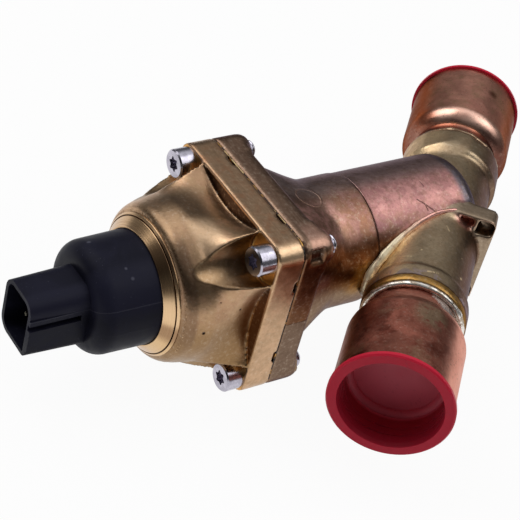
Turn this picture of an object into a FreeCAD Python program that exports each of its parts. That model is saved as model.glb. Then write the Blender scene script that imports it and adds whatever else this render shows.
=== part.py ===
import FreeCAD, Part
import math
import os
import re

import Sketcher
from FreeCAD import Placement, Rotation, Vector

# Straight through valve with a leaning stem, driven by a stepping motor.
# The two ports lie on one line. The stem leans from that line towards the inlet.
# Row frame: Y along the port line towards the outlet, Z square to the plane of line and stem.
# The origin is the centre of the inlet's tube stop. Lengths are millimetres, angles degrees.

doc = FreeCAD.newDocument("expansion_valve")
sheet = doc.addObject("Spreadsheet::Sheet", "Sizes")

# Driving dimensions, each in a cell of its own under a plain name
SIZES = {
    # Lie of the two axes
    "stem_angle": 45.0,
    "inlet_collar_face": 64.5,
    "outlet_collar_face": 29.7,

    # Clearances, and how far a cut runs past a face or a form runs into its neighbour
    "running_gap": 0.05,
    "loose_gap": 0.3,
    "fixed_gap": 0.02,
    "seat_gap": 0.3,
    "cut_margin": 1.0,
    "weld_depth": 1.0,

    # Valve body casting
    "stem_radius": 22.6,
    "stem_end": 2.4,
    "stem_end_round": 6.0,
    "stem_band_start": 44.5,
    "stem_band_height": 0.35,
    "neck_rise": 19.4,
    "neck_middle_shift": 1.0,
    "neck_middle_inset": 7.0,
    "neck_middle_round": 17.0,
    "neck_end_inset": 4.6,
    "neck_end_round": 11.5,
    "side_share": 30.0,
    "branch_radius": 16.6,
    "branch_wall": 2.4,
    "collar_radius": 18.2,
    "collar_slope": 1.4,
    "collar_chamfer": 0.6,
    "inlet_collar_length": 9.7,
    "outlet_collar_length": 11.5,

    # Flange joint between casting and bonnet
    "flange_half": 31.6,
    "flange_round": 6.0,
    "joint_place": 87.0,
    "body_flange_thickness": 9.6,
    "flange_edge_round": 0.6,
    "bonnet_flange_thickness": 9.8,
    "gasket_thickness": 0.5,
    "gasket_inset": 0.4,
    "bolt_edge": 6.0,
    "screw_boss_radius": 5.8,
    "screw_boss_height": 2.2,
    "screw_radius": 3.0,
    "screw_length": 25.0,
    "screw_head_radius": 5.0,
    "screw_head_height": 6.0,
    "screw_head_round": 0.5,
    "screw_tip_chamfer": 0.7,
    "star_radius": 2.4,
    "star_depth": 3.0,
    "star_lobe_angle": 11.0,
    "star_lobe_radius": 0.5,
    "star_flank_radius": 1.1,
    "screw_clearance": 0.3,
    "notch_length": 5.0,
    "notch_height": 0.9,
    "notch_depth": 1.2,
    "notch_offset": 15.5,

    # Mounting lug on the side away from the motor
    "lug_reach": 19.3,
    "lug_front": 20.5,
    "lug_thickness": 8.0,
    "lug_height": 36.0,
    "lug_round": 2.4,
    "lug_pocket_width": 5.6,
    "lug_pocket_height": 5.8,
    "lug_pocket_depth": 5.0,
    "lug_pocket_rim": 0.8,
    "lug_rib": 1.5,
    "lug_hollow_width": 10.5,
    "lug_hollow_height": 9.5,
    "lug_plate": 1.3,

    # Seat and chamber
    "chamber_radius": 17.5,
    "seat_deck": 6.0,
    "deck_thickness": 8.0,
    "seat_outer_radius": 12.0,
    "seat_bore_radius": 9.5,
    "seat_rim_height": 1.0,
    "seat_ring_depth": 6.0,
    "throat_run": 4.0,
    "outlet_hollow_reach": 9.0,

    # Guide sleeve, piston and what the piston carries
    "sleeve_start": 36.0,
    "sleeve_wall": 1.5,
    "sleeve_top_gap": 0.5,
    "piston_skirt_length": 22.0,
    "piston_skirt_start": 31.0,
    "piston_waist_radius": 12.5,
    "crown_radius": 13.6,
    "crown_thickness": 5.0,
    "seal_thickness": 2.6,
    "seal_outer_radius": 12.6,
    "seal_inner_radius": 6.0,
    "retainer_thickness": 2.0,
    "retainer_radius": 8.6,
    "retainer_chamfer": 0.5,
    "ring_height": 3.0,
    "ring_depth": 1.6,
    "ring_place": 6.0,
    "waist_chamfer": 1.0,
    "skirt_chamfer": 2.0,
    "nut_radius": 8.0,
    "nut_length": 12.0,
    "nut_collar_radius": 10.5,
    "nut_collar_thickness": 2.5,
    "pin_radius": 1.2,
    "pin_drop": 9.0,
    "pin_seat": 10.0,
    "stroke": 10.0,

    # Lead screw, rotor and bearings
    "lead_radius": 3.0,
    "lead_start": 38.0,
    "lead_chamfer": 0.8,
    "lead_room": 1.0,
    "lead_end_room": 3.0,
    "journal_radius": 2.5,
    "tail_radius": 1.5,
    "front_bearing_length": 4.5,
    "rear_bearing_length": 2.5,
    "magnet_radius": 8.8,
    "magnet_length": 20.0,
    "hub_radius": 5.0,
    "rotor_float": 0.3,
    "thrust_collar_thickness": 1.5,
    "thrust_collar_radius": 4.0,

    # Rotor can, its nut and seal
    "can_radius": 9.6,
    "can_wall": 0.4,
    "can_neck_radius": 9.9,
    "can_flange_radius": 14.0,
    "can_flange_thickness": 2.5,
    "can_neck_wall": 2.4,
    "can_neck_end": 1.0,
    "can_nut_radius": 13.5,
    "can_nut_thickness": 3.0,
    "ring_seal_width": 1.2,
    "seal_place": 5.0,
    "cover_seal_place": 3.5,

    # Bonnet casting
    "dome_side_rise": 17.1,
    "dome_side_radius": 28.5,
    "shoulder_rise": 6.1,
    "shoulder_radius": 26.9,
    "shoulder_round": 40.0,
    "dome_rise": 3.7,
    "dome_round": 4.5,
    "collar_ring_radius": 24.0,
    "collar_ring_rise": 3.9,
    "skirt_inset": 0.3,
    "skirt_hollow_half": 18.5,
    "skirt_hollow_round": 32.0,
    "skirt_corner_share": 39.0,
    "face_groove_radius": 22.6,
    "face_groove_width": 0.8,
    "face_groove_depth": 1.5,
    "scoop_radius": 8.9,
    "web_rise": 2.5,
    "web_thickness": 12.2,
    "lower_hollow_radius": 17.4,
    "cover_seat_rise": 6.0,
    "inner_ring_slope": 1.2,

    # Motor cover with its connector
    "cover_radius": 19.25,
    "cover_tip_radius": 18.95,
    "cover_rise": 21.3,
    "cover_round": 6.0,
    "cover_end_wall": 3.4,
    "shroud_rise": 20.6,
    "shroud_left": 7.8,
    "shroud_right": 9.3,
    "shroud_half_height": 10.6,
    "shroud_round": 5.0,
    "shroud_latch_round": 2.0,
    "shroud_wall": 1.5,
    "shroud_spread": 0.7,
    "shroud_depth": 14.0,
    "latch_low": 7.6,
    "latch_high": 0.9,
    "latch_rise": 0.8,
    "latch_length": 18.0,
    "latch_root": 0.5,
    "rail_low": 3.0,
    "rail_width": 1.9,
    "rail_rise": 0.55,
    "slot_depth": 0.7,
    "contact_radius": 0.75,
    "contact_length": 9.0,
    "contact_across": 2.6,
    "contact_up": 3.0,
    "contact_centre": 0.75,

    # Stator in the cover
    "stator_radius": 17.2,
    "stator_length": 22.0,
    "stator_end_gap": 1.0,
    "stator_side_gap": 0.1,
    "yoke_wall": 1.6,
    "coil_gap": 0.4,

    # Copper stubs, braze rings and shipping plugs
    "stub_neck_radius": 16.0,
    "stub_neck_wall": 1.8,
    "stub_insert": 9.0,
    "stub_neck_show": 6.8,
    "stub_shoulder_round": 6.0,
    "stub_radius": 20.0,
    "stub_length": 40.7,
    "socket_radius": 17.55,
    "socket_depth": 25.0,
    "socket_stop_width": 1.9,
    "socket_lead_in": 0.5,
    "socket_straight": 10.4,
    "socket_opening": 0.1,
    "braze_size": 1.5,
    "plug_rim_radius": 20.9,
    "plug_rim_thickness": 1.7,
    "plug_rim_round": 0.5,
    "plug_depth": 14.9,
    "plug_wall": 0.9,
    "plug_base": 1.2,
    "plug_mouth_radius": 17.4,
    "plug_draft": 0.35,
    "plug_toe": 1.0,
    "plug_step": 0.25,
    "plug_step_place": 5.0,
    "plug_step_length": 3.0,
    "plug_inner_round": 2.0,
}
for row, (alias, number) in enumerate(SIZES.items(), start=1):
    sheet.set("A%d" % row, alias)
    sheet.set("B%d" % row, repr(number))
    sheet.setAlias("B%d" % row, alias)
doc.recompute()


def bind(text):
    """Turn the plain names in a formula into references to the sheet's cells."""
    return re.sub("|".join(r"\b%s\b" % alias for alias in SIZES), r"Sizes.\g<0>", text)


def value(text):
    """The number that a formula of named sizes gives now."""
    return float(sheet.evalExpression(bind(text)))


# Formulas that more than one piece uses
FLANGE_BACK = "(joint_place - body_flange_thickness)"
BOSS_BACK = "(" + FLANGE_BACK + " - screw_boss_height)"
NECK_START = "(" + FLANGE_BACK + " - neck_rise)"
BOLT = "(flange_half - bolt_edge)"
BONNET_START = "(joint_place + gasket_thickness)"
SCREW_SEAT = "(" + BONNET_START + " + bonnet_flange_thickness)"
DOME_SIDE_TOP = "(" + SCREW_SEAT + " + dome_side_rise)"
DOME_SHOULDER = "(" + DOME_SIDE_TOP + " + shoulder_rise)"
DOME_TOP = "(" + DOME_SHOULDER + " + dome_rise)"
BONNET_TOP = "(" + DOME_TOP + " + collar_ring_rise)"
WEB_START = "(" + SCREW_SEAT + " + web_rise)"
WEB_END = "(" + WEB_START + " + web_thickness)"
COVER_SEAT = "(" + WEB_END + " + cover_seat_rise)"
COVER_TOP = "(" + BONNET_TOP + " + cover_rise)"
CAN_TOP = "(" + COVER_TOP + " - cover_end_wall)"
SHROUD_END = "(" + COVER_TOP + " + shroud_rise)"
SHROUD_FLOOR = "(" + SHROUD_END + " - shroud_depth)"
BRANCH_BORE = "(branch_radius - branch_wall)"
STEM_BAND = "(stem_radius + stem_band_height)"
SLEEVE_BORE = "(chamber_radius - fixed_gap)"
SLEEVE_OUTER = "(chamber_radius + sleeve_wall)"
SLEEVE_TOP = "(joint_place - sleeve_top_gap)"
PISTON_RADIUS = "(chamber_radius - fixed_gap - running_gap)"
SEAT_FACE = "(seat_deck + seat_rim_height)"
SEAL_FACE = "(seat_deck + seat_rim_height + seat_gap)"
CROWN_START = "(seat_deck + seat_rim_height + seat_gap + seal_thickness)"
PISTON_TOP = "(piston_skirt_start + piston_skirt_length)"
NUT_START = "(piston_skirt_start + piston_skirt_length - nut_length)"
CAN_BORE = "(can_radius - can_wall)"
NECK_BORE = "(can_neck_radius - can_neck_wall)"
CAN_NUT_START = "(" + WEB_START + " - can_nut_thickness)"
CAN_INNER_END = "(" + CAN_TOP + " - can_wall)"
FRONT_BEARING_START = "(" + WEB_END + " - front_bearing_length)"
THRUST_FACE = "(" + FRONT_BEARING_START + " - rotor_float)"
ROTOR_TOP = "(" + CAN_INNER_END + " - rear_bearing_length - rotor_float)"
MAGNET_START = "(" + ROTOR_TOP + " - magnet_length)"
STOP_PLACE = "(stub_length - socket_depth)"
PLUG_RADIUS = "(socket_radius - running_gap)"
STATOR_END = "(" + CAN_TOP + " - stator_end_gap)"
STATOR_START = "(" + STATOR_END + " - stator_length)"


def row_placement(z_axis):
    """Place a piece, turned about its own Z, on an axis through the crossing of stem and port line."""
    x_axis = UP.cross(z_axis)
    turn = FreeCAD.Matrix(
        x_axis.x, UP.x, z_axis.x, 0,
        x_axis.y, UP.y, z_axis.y, 0,
        x_axis.z, UP.z, z_axis.z, 0,
        0, 0, 0, 1)
    return Placement(Vector(0, value("inlet_collar_face + " + STOP_PLACE), 0), Rotation(turn))


UP = Vector(0, 0, 1)
lean = math.radians(value("stem_angle"))
STEM = row_placement(Vector(-math.sin(lean), -math.cos(lean), 0))
INLET = row_placement(Vector(0, -1, 0))
OUTLET = row_placement(Vector(0, 1, 0))
INLET_TURN = -value("stem_angle")
OUTLET_TURN = 180 - value("stem_angle")

nodes = {}


def keep(piece, label, placement):
    """Name a finished sub-part and set its place in the row frame."""
    piece.Label = label
    piece.Placement = placement
    nodes[label] = piece


def new_body(name):
    return doc.addObject("PartDesign::Body", name)


def new_sketch(body, role, name, turn=0.0, height=None):
    """A sketch on one of the body's own planes, turned in it, and lifted off it by a formula."""
    sketch = body.newObject("Sketcher::SketchObject", name)
    plane = next(item for item in body.Origin.OriginFeatures if item.Role == role)
    sketch.AttachmentSupport = [(plane, "")]
    sketch.MapMode = "FlatFace"
    sketch.AttachmentOffset = Placement(Vector(0, 0, 0), Rotation(Vector(0, 0, 1), turn))
    if height is not None:
        sketch.setExpression("AttachmentOffset.Base.z", bind(height))
    return sketch


def arc_between(start, end, radius, bulge):
    """Arc whose middle lies left of the way from start to end (bulge 1) or right of it (bulge -1)."""
    chord = end.sub(start)
    half = chord.Length / 2
    rise = radius - math.sqrt(max(radius * radius - half * half, 0))
    left = Vector(-chord.y, chord.x, 0).normalize()
    return Part.Arc(start, start.add(chord * 0.5).add(left * (rise * bulge)), end)


def fix_point(sketch, edge, end, across, along):
    """Tie one end of an edge to the sketch's origin by two formulas."""
    for kind, axis, text in (("DistanceX", -2, across), ("DistanceY", -1, along)):
        if text == "0":
            sketch.addConstraint(Sketcher.Constraint("PointOnObject", edge, end, axis))
        else:
            number = sketch.addConstraint(Sketcher.Constraint(kind, -1, 1, edge, end, value(text)))
            sketch.setExpression("Constraints[%d]" % number, bind(text))


def fix_radius(sketch, edge, radius):
    number = sketch.addConstraint(Sketcher.Constraint("Radius", edge, value(radius)))
    sketch.setExpression("Constraints[%d]" % number, bind(radius))


def draw(sketch, corners, arcs=None):
    """A closed outline. arcs gives the radius and bulge of the edge that follows a corner."""
    arcs = arcs or {}
    points = [Vector(value(across), value(along), 0) for across, along in corners]
    ends = []
    for index, start in enumerate(points):
        end = points[(index + 1) % len(points)]
        if index in arcs:
            radius, bulge = arcs[index]
            edge = sketch.addGeometry(arc_between(start, end, value(radius), bulge), False)
        else:
            edge = sketch.addGeometry(Part.LineSegment(start, end), False)
        nearer_first = sketch.getPoint(edge, 1).sub(start).Length < sketch.getPoint(edge, 2).sub(start).Length
        first = 1 if nearer_first else 2
        ends.append((edge, first, 3 - first))
    for index, (edge, first, last) in enumerate(ends):
        following, following_first, _ = ends[(index + 1) % len(ends)]
        sketch.addConstraint(Sketcher.Constraint("Coincident", edge, last, following, following_first))
        fix_point(sketch, edge, first, *corners[index])
    for index, (radius, _) in arcs.items():
        fix_radius(sketch, ends[index][0], radius)


def draw_circle(sketch, across, along, radius):
    edge = sketch.addGeometry(Part.Circle(Vector(value(across), value(along), 0), UP, value(radius)), False)
    fix_radius(sketch, edge, radius)
    fix_point(sketch, edge, 3, across, along)


def revolve(body, name, corners, arcs=None, turn=0.0, cut=False):
    """Turn an outline of (radius, place along the axis) corners about an axis in the XZ plane."""
    sketch = new_sketch(body, "XZ_Plane", name + "_outline", turn)
    draw(sketch, corners, arcs)
    kind = "PartDesign::Groove" if cut else "PartDesign::Revolution"
    feature = body.newObject(kind, name)
    feature.Profile = sketch
    feature.ReferenceAxis = (sketch, ["V_Axis"])
    feature.Angle = 360
    return feature


def turned(label, placement, corners, arcs=None):
    """A sub-part that is one turned piece."""
    body = new_body(label)
    revolve(body, label + "_turning", corners, arcs)
    keep(body, label, placement)
    return body


def tube_corners(inner, outer, start, end):
    return [(inner, start), (outer, start), (outer, end), (inner, end)]


def pad(body, name, sketch, length):
    feature = body.newObject("PartDesign::Pad", name)
    feature.Profile = sketch
    feature.setExpression("Length", bind(length))
    return feature


def pocket(body, name, sketch, length, both_ways=False):
    """Cut along the sketch's own normal, or half each way from its plane."""
    feature = body.newObject("PartDesign::Pocket", name)
    feature.Profile = sketch
    feature.setExpression("Length", bind(length))
    feature.Reversed = not both_ways
    feature.Midplane = both_ways
    return feature


def loft(body, name, sketches):
    feature = body.newObject("PartDesign::AdditiveLoft", name)
    feature.Profile = sketches[0]
    feature.Sections = sketches[1:]
    return feature


def four_sides(side):
    """The corners of an outline's right side, from bottom to top, repeated round the other three sides."""
    corners = list(side)
    for _ in range(3):
        side = [("0 - (%s)" % along, across) for across, along in side]
        corners += side
    return corners


def square_outline(sketch, half, corner):
    """A square with round corners."""
    flat = "(%s - %s)" % (half, corner)
    draw(sketch, four_sides([(half, "0 - " + flat), (half, flat)]),
         {index: (corner, -1) for index in (1, 3, 5, 7)})


def hollowed_outline(sketch, half, corner, hollow_half, hollow_round):
    """A square with round corners, whose sides are hollowed by an arc in their middle."""
    flat = "(%s - %s)" % (half, corner)
    side = [(half, "0 - " + flat), (half, "0 - " + hollow_half), (half, hollow_half), (half, flat)]
    arcs = {}
    for index in range(0, 16, 4):
        arcs[index + 1] = (hollow_round, 1)
        arcs[index + 3] = (corner, -1)
    draw(sketch, four_sides(side), arcs)


def round_outline(sketch, radius, shares):
    """A circle in arcs that end at these angles from each side's middle, to loft with a square."""
    half = [("%s * cos(%s)" % (radius, share), "%s * sin(%s)" % (radius, share)) for share in shares]
    lower = [(across, "0 - " + along) for across, along in reversed(half)]
    corners = four_sides(lower + half)
    draw(sketch, corners, {index: (radius, -1) for index in range(len(corners))})


def four_circles(sketch, offset, radius):
    for across in (offset, "0 - " + offset):
        for along in (offset, "0 - " + offset):
            draw_circle(sketch, across, along, radius)


def round_edges(body, name, base, radius, wanted):
    """Round the edges of a feature for which wanted(edge) is true."""
    doc.recompute()
    names = ["Edge%d" % (index + 1) for index, edge in enumerate(base.Shape.Edges) if wanted(edge)]
    feature = body.newObject("PartDesign::Fillet", name)
    feature.Base = (base, names)
    feature.setExpression("Radius", bind(radius))
    return feature


def rim_at(height):
    """A test for the edges round a flange's rim at this place along the stem."""
    place = value(height)
    inside = value("flange_half - flange_round / 2")

    def on_rim(edge):
        middle = edge.CenterOfMass
        return abs(middle.z - place) < 0.01 and max(abs(middle.x), abs(middle.y)) > inside

    return on_rim


# Valve body: one casting with a leaning stem, two branches, a square flange and a mounting lug
casting = new_body("casting")
lug_plan = new_sketch(casting, "XZ_Plane", "lug_plan", INLET_TURN)
draw(lug_plan, [("0", "lug_front - lug_thickness"), ("lug_reach", "lug_front - lug_thickness"),
                ("lug_reach", "lug_front"), ("0", "lug_front")])
lug = pad(casting, "lug", lug_plan, "lug_height")
lug.Midplane = True


def lug_corner(edge):
    """The lug's outer edges that run along the port line."""
    middle = STEM.multVec(edge.CenterOfMass).sub(STEM.Base)
    return (abs(middle.x - value("lug_reach")) < 0.01
            and abs(abs(middle.z) - value("lug_height") / 2) < 0.01)


round_edges(casting, "lug_rounding", lug, "lug_round", lug_corner)

# The lug is hollowed at each end: a square pocket near its edge, and a wider hollow towards the branch
POCKET_OUTER = "(lug_reach - lug_pocket_rim)"
POCKET_INNER = "(" + POCKET_OUTER + " - lug_pocket_width)"
HOLLOW_OUTER = "(" + POCKET_INNER + " - lug_rib)"
for side, sign in (("upper", ""), ("lower", "0 - ")):
    for name, inner, outer, tall, cover in (
            ("pocket", POCKET_INNER, POCKET_OUTER, "lug_pocket_height", "lug_pocket_rim"),
            ("hollow", HOLLOW_OUTER + " - lug_hollow_width", HOLLOW_OUTER, "lug_hollow_height", "lug_plate")):
        middle = sign + "(lug_height / 2 - %s - %s / 2)" % (cover, tall)
        plan = new_sketch(casting, "XZ_Plane", "%s_lug_%s_plan" % (side, name), INLET_TURN, middle)
        draw(plan, [(inner, "lug_front - lug_pocket_depth"), (outer, "lug_front - lug_pocket_depth"),
                    (outer, "lug_front + cut_margin"), (inner, "lug_front + cut_margin")])
        pocket(casting, "%s_lug_%s" % (side, name), plan, tall, both_ways=True)

revolve(casting, "stem",
        [("0", "0 - stem_end"), ("stem_radius - stem_end_round", "0 - stem_end"),
         ("stem_radius", "stem_end_round - stem_end"), ("stem_radius", "stem_band_start"),
         (STEM_BAND, "stem_band_start + stem_band_height"), (STEM_BAND, FLANGE_BACK), ("0", FLANGE_BACK)],
        {1: ("stem_end_round", -1)})
for side, turn in (("inlet", INLET_TURN), ("outlet", OUTLET_TURN)):
    face = side + "_collar_face"
    collar_start = "(%s - %s_collar_length)" % (face, side)
    revolve(casting, side + "_branch",
            [("0", "0"), ("branch_radius", "0"), ("branch_radius", collar_start + " - collar_slope"),
             ("collar_radius", collar_start), ("collar_radius", face + " - collar_chamfer"),
             ("collar_radius - collar_chamfer", face), ("0", face)], turn=turn)

neck_start = new_sketch(casting, "XY_Plane", "neck_start", height=NECK_START)
round_outline(neck_start, "(stem_radius - fixed_gap)", ["side_share"])
neck_middle = new_sketch(casting, "XY_Plane", "neck_middle",
                         height="(" + NECK_START + " + " + FLANGE_BACK + ") / 2 + neck_middle_shift")
square_outline(neck_middle, "(flange_half - neck_middle_inset)", "neck_middle_round")
neck_end = new_sketch(casting, "XY_Plane", "neck_end", height=FLANGE_BACK)
square_outline(neck_end, "(flange_half - neck_end_inset)", "neck_end_round")
loft(casting, "neck", [neck_start, neck_middle, neck_end])

flange_face = new_sketch(casting, "XY_Plane", "flange_face", height=FLANGE_BACK)
square_outline(flange_face, "flange_half", "flange_round")
flange = pad(casting, "flange", flange_face, "body_flange_thickness")
round_edges(casting, "flange_edge", flange, "flange_edge_round", rim_at(FLANGE_BACK))
bosses = new_sketch(casting, "XY_Plane", "screw_boss_plan", height=BOSS_BACK)
four_circles(bosses, BOLT, "screw_boss_radius")
pad(casting, "screw_bosses", bosses, "screw_boss_height + weld_depth")

# Bores of the casting. The seat ring's pocket and the throat below it lie under the chamber.
SEAT_POCKET = "(seat_deck - seat_ring_depth)"
THROAT_END = "(seat_deck - deck_thickness - throat_run)"
revolve(casting, "stem_bore",
        [("0", THROAT_END), ("seat_bore_radius", THROAT_END),
         ("seat_bore_radius", SEAT_POCKET), ("seat_outer_radius + fixed_gap", SEAT_POCKET),
         ("seat_outer_radius + fixed_gap", "seat_deck"), ("chamber_radius", "seat_deck"),
         ("chamber_radius", "sleeve_start"), (SLEEVE_OUTER + " + fixed_gap", "sleeve_start"),
         (SLEEVE_OUTER + " + fixed_gap", "joint_place + cut_margin"),
         ("0", "joint_place + cut_margin")], cut=True)
holes = new_sketch(casting, "XY_Plane", "screw_hole_plan", height=BOSS_BACK + " - cut_margin")
four_circles(holes, BOLT, "screw_radius + fixed_gap")
pocket(casting, "screw_holes", holes, "joint_place - " + BOSS_BACK + " + 2 * cut_margin")


def passage(side, turn, reach):
    """The hollow of one branch, from inside the stem to past its collar."""
    body = new_body(side + "_passage")
    socket = "(%s_collar_face - stub_insert)" % side
    revolve(body, side + "_passage_turning",
            [("0", reach), (BRANCH_BORE, reach), (BRANCH_BORE, socket),
             ("stub_neck_radius + running_gap", socket),
             ("stub_neck_radius + running_gap", side + "_collar_face + cut_margin"),
             ("0", side + "_collar_face + cut_margin")], turn=turn)
    return body


def block(name, bottom):
    """A block that fills the space above or below the deck, to trim a passage with."""
    box = doc.addObject("Part::Box", name)
    for side in ("Length", "Width", "Height"):
        box.setExpression(side, bind("2 * inlet_collar_face"))
    box.setExpression("Placement.Base.x", bind("0 - inlet_collar_face"))
    box.setExpression("Placement.Base.y", bind("0 - inlet_collar_face"))
    box.setExpression("Placement.Base.z", bind(bottom))
    return box


def cut_of(name, base, tool):
    result = doc.addObject("Part::Cut", name)
    result.Base = base
    result.Tool = tool
    return result


inlet_core = cut_of("inlet_core", passage("inlet", INLET_TURN, "0"),
                    block("below_deck", "seat_deck - 2 * inlet_collar_face"))
outlet_core = cut_of("outlet_core", passage("outlet", OUTLET_TURN, "0 - outlet_hollow_reach"),
                     block("above_deck", "seat_deck - deck_thickness"))
cores = doc.addObject("Part::Fuse", "cores")
cores.Base = inlet_core
cores.Tool = outlet_core
keep(cut_of("valve_body", casting, cores), "valve_body", STEM)


# Bonnet: one casting with a square flange, a hollowed skirt with four screw scoops, a dome and turned rings
bonnet = new_body("bonnet")
base_face = new_sketch(bonnet, "XY_Plane", "bonnet_flange_face", height=BONNET_START)
square_outline(base_face, "flange_half", "flange_round")
bonnet_flange = pad(bonnet, "bonnet_flange", base_face, "bonnet_flange_thickness")
round_edges(bonnet, "bonnet_flange_edge", bonnet_flange, "flange_edge_round", rim_at(SCREW_SEAT))
skirt_foot = new_sketch(bonnet, "XY_Plane", "skirt_foot", height=SCREW_SEAT + " - flange_edge_round")
hollowed_outline(skirt_foot, "(flange_half - skirt_inset)", "flange_round",
                 "skirt_hollow_half", "skirt_hollow_round")
skirt_head = new_sketch(bonnet, "XY_Plane", "skirt_head", height=DOME_SIDE_TOP)
round_outline(skirt_head, "dome_side_radius", ["side_share", "skirt_corner_share"])
loft(bonnet, "skirt", [skirt_foot, skirt_head])
DOME_START = "(" + DOME_SIDE_TOP + " - weld_depth)"
revolve(bonnet, "dome",
        [("0", DOME_START), ("dome_side_radius - weld_depth", DOME_START),
         ("dome_side_radius", DOME_SIDE_TOP), ("shoulder_radius", DOME_SHOULDER),
         ("collar_ring_radius", DOME_TOP), ("collar_ring_radius", BONNET_TOP + " - collar_chamfer"),
         ("collar_ring_radius - collar_chamfer", BONNET_TOP), ("0", BONNET_TOP)],
        {2: ("shoulder_round", -1), 3: ("dome_round", -1)})
scoops = new_sketch(bonnet, "XY_Plane", "screw_scoop_plan", height=SCREW_SEAT)
four_circles(scoops, BOLT, "scoop_radius")
pocket(bonnet, "screw_scoops", scoops, BONNET_TOP + " - " + SCREW_SEAT)
bonnet_holes = new_sketch(bonnet, "XY_Plane", "bonnet_hole_plan", height=BONNET_START + " - cut_margin")
four_circles(bonnet_holes, BOLT, "screw_radius + screw_clearance")
pocket(bonnet, "bonnet_holes", bonnet_holes, "bonnet_flange_thickness + 2 * cut_margin")
revolve(bonnet, "bonnet_bore",
        [("0", BONNET_START + " - cut_margin"), ("lower_hollow_radius", BONNET_START + " - cut_margin"),
         ("lower_hollow_radius", WEB_START), ("can_neck_radius + running_gap", WEB_START),
         ("can_neck_radius + running_gap", WEB_END), ("stator_radius + loose_gap", WEB_END),
         ("stator_radius + loose_gap", COVER_SEAT), ("cover_radius + loose_gap / 2", COVER_SEAT),
         ("cover_radius + loose_gap / 2", BONNET_TOP + " - inner_ring_slope"),
         ("cover_radius + inner_ring_slope", BONNET_TOP),
         ("cover_radius + inner_ring_slope", BONNET_TOP + " + cut_margin"),
         ("0", BONNET_TOP + " + cut_margin")], cut=True)
revolve(bonnet, "face_groove",
        tube_corners("face_groove_radius", "face_groove_radius + face_groove_width",
                     BONNET_TOP + " - face_groove_depth", BONNET_TOP + " + cut_margin"), cut=True)
notches = new_sketch(bonnet, "XY_Plane", "notch_plan", height=BONNET_START)
for place in ("notch_offset", "0 - notch_offset"):
    near = "%s - notch_length / 2" % place
    far = "%s + notch_length / 2" % place
    for inner, outer in (("flange_half - notch_depth", "flange_half + cut_margin"),
                         ("notch_depth - flange_half", "0 - flange_half - cut_margin")):
        draw(notches, [(near, inner), (far, inner), (far, outer), (near, outer)])
        draw(notches, [(inner, near), (inner, far), (outer, far), (outer, near)])
pocket(bonnet, "pry_notches", notches, "notch_height")
keep(bonnet, "bonnet", STEM)

# Sheet gasket between the two flanges
gasket = new_body("flange_gasket")
gasket_face = new_sketch(gasket, "XY_Plane", "gasket_plan", height="joint_place")
square_outline(gasket_face, "(flange_half - gasket_inset)", "(flange_round - gasket_inset)")
four_circles(gasket_face, BOLT, "screw_radius + screw_clearance")
draw_circle(gasket_face, "0", "0", "lower_hollow_radius + loose_gap")
pad(gasket, "gasket_sheet", gasket_face, "gasket_thickness")
keep(gasket, "flange_gasket", STEM)

# Flange screws: cylinder heads with a six lobed recess
screw = new_body("flange_screw")
SCREW_TIP = "(" + SCREW_SEAT + " - screw_length)"
revolve(screw, "screw_turning",
        [("0", SCREW_TIP), ("screw_radius - screw_tip_chamfer", SCREW_TIP),
         ("screw_radius", SCREW_TIP + " + screw_tip_chamfer"), ("screw_radius", SCREW_SEAT),
         ("screw_head_radius", SCREW_SEAT),
         ("screw_head_radius", SCREW_SEAT + " + screw_head_height - screw_head_round"),
         ("screw_head_radius - screw_head_round", SCREW_SEAT + " + screw_head_height"),
         ("0", SCREW_SEAT + " + screw_head_height")])
recess = new_sketch(screw, "XY_Plane", "star_plan", height=SCREW_SEAT + " + screw_head_height - star_depth")
star = []
for lobe in range(6):
    for sign in "-+":
        angle = "(%d * 60 %s star_lobe_angle)" % (lobe, sign)
        star.append(("star_radius * cos" + angle, "star_radius * sin" + angle))
draw(recess, star, {index: ("star_lobe_radius", -1) if index % 2 == 0 else ("star_flank_radius", 1)
                    for index in range(12)})
pocket(screw, "star_recess", recess, "star_depth + cut_margin")
doc.recompute()
screws = doc.addObject("Part::Feature", "flange_screws")
reach = value(BOLT)
screws.Shape = Part.makeCompound([screw.Shape.translated(Vector(across, along, 0))
                                  for across in (-reach, reach) for along in (-reach, reach)])
keep(screws, "flange_screws", STEM)

# Seat ring, pressed into the deck between inlet and outlet
turned("seat_ring", STEM,
       [("seat_bore_radius", SEAT_POCKET), ("seat_outer_radius", SEAT_POCKET),
        ("seat_outer_radius", "seat_deck"), ("seat_outer_radius - seat_rim_height", SEAT_FACE),
        ("seat_bore_radius + seat_rim_height / 2", SEAT_FACE),
        ("seat_bore_radius", SEAT_FACE + " - seat_rim_height / 2")])

# Guide sleeve with a closed slot for the piston's pin
sleeve = new_body("guide_sleeve")
revolve(sleeve, "sleeve_turning", tube_corners(SLEEVE_BORE, SLEEVE_OUTER, "sleeve_start", SLEEVE_TOP))
slot = new_sketch(sleeve, "XZ_Plane", "slot_plan", height="0 - " + SLEEVE_OUTER + " - cut_margin")
SLOT_LOW = "(" + PISTON_TOP + " - pin_drop - pin_radius - loose_gap)"
SLOT_HIGH = "(" + PISTON_TOP + " - pin_drop + stroke + pin_radius + loose_gap)"
SLOT_HALF = "(pin_radius + running_gap)"
draw(slot, [("0 - " + SLOT_HALF, SLOT_LOW), (SLOT_HALF, SLOT_LOW), (SLOT_HALF, SLOT_HIGH),
            ("0 - " + SLOT_HALF, SLOT_HIGH)])
pocket(sleeve, "pin_slot", slot, SLEEVE_OUTER)
keep(sleeve, "guide_sleeve", STEM)

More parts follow.
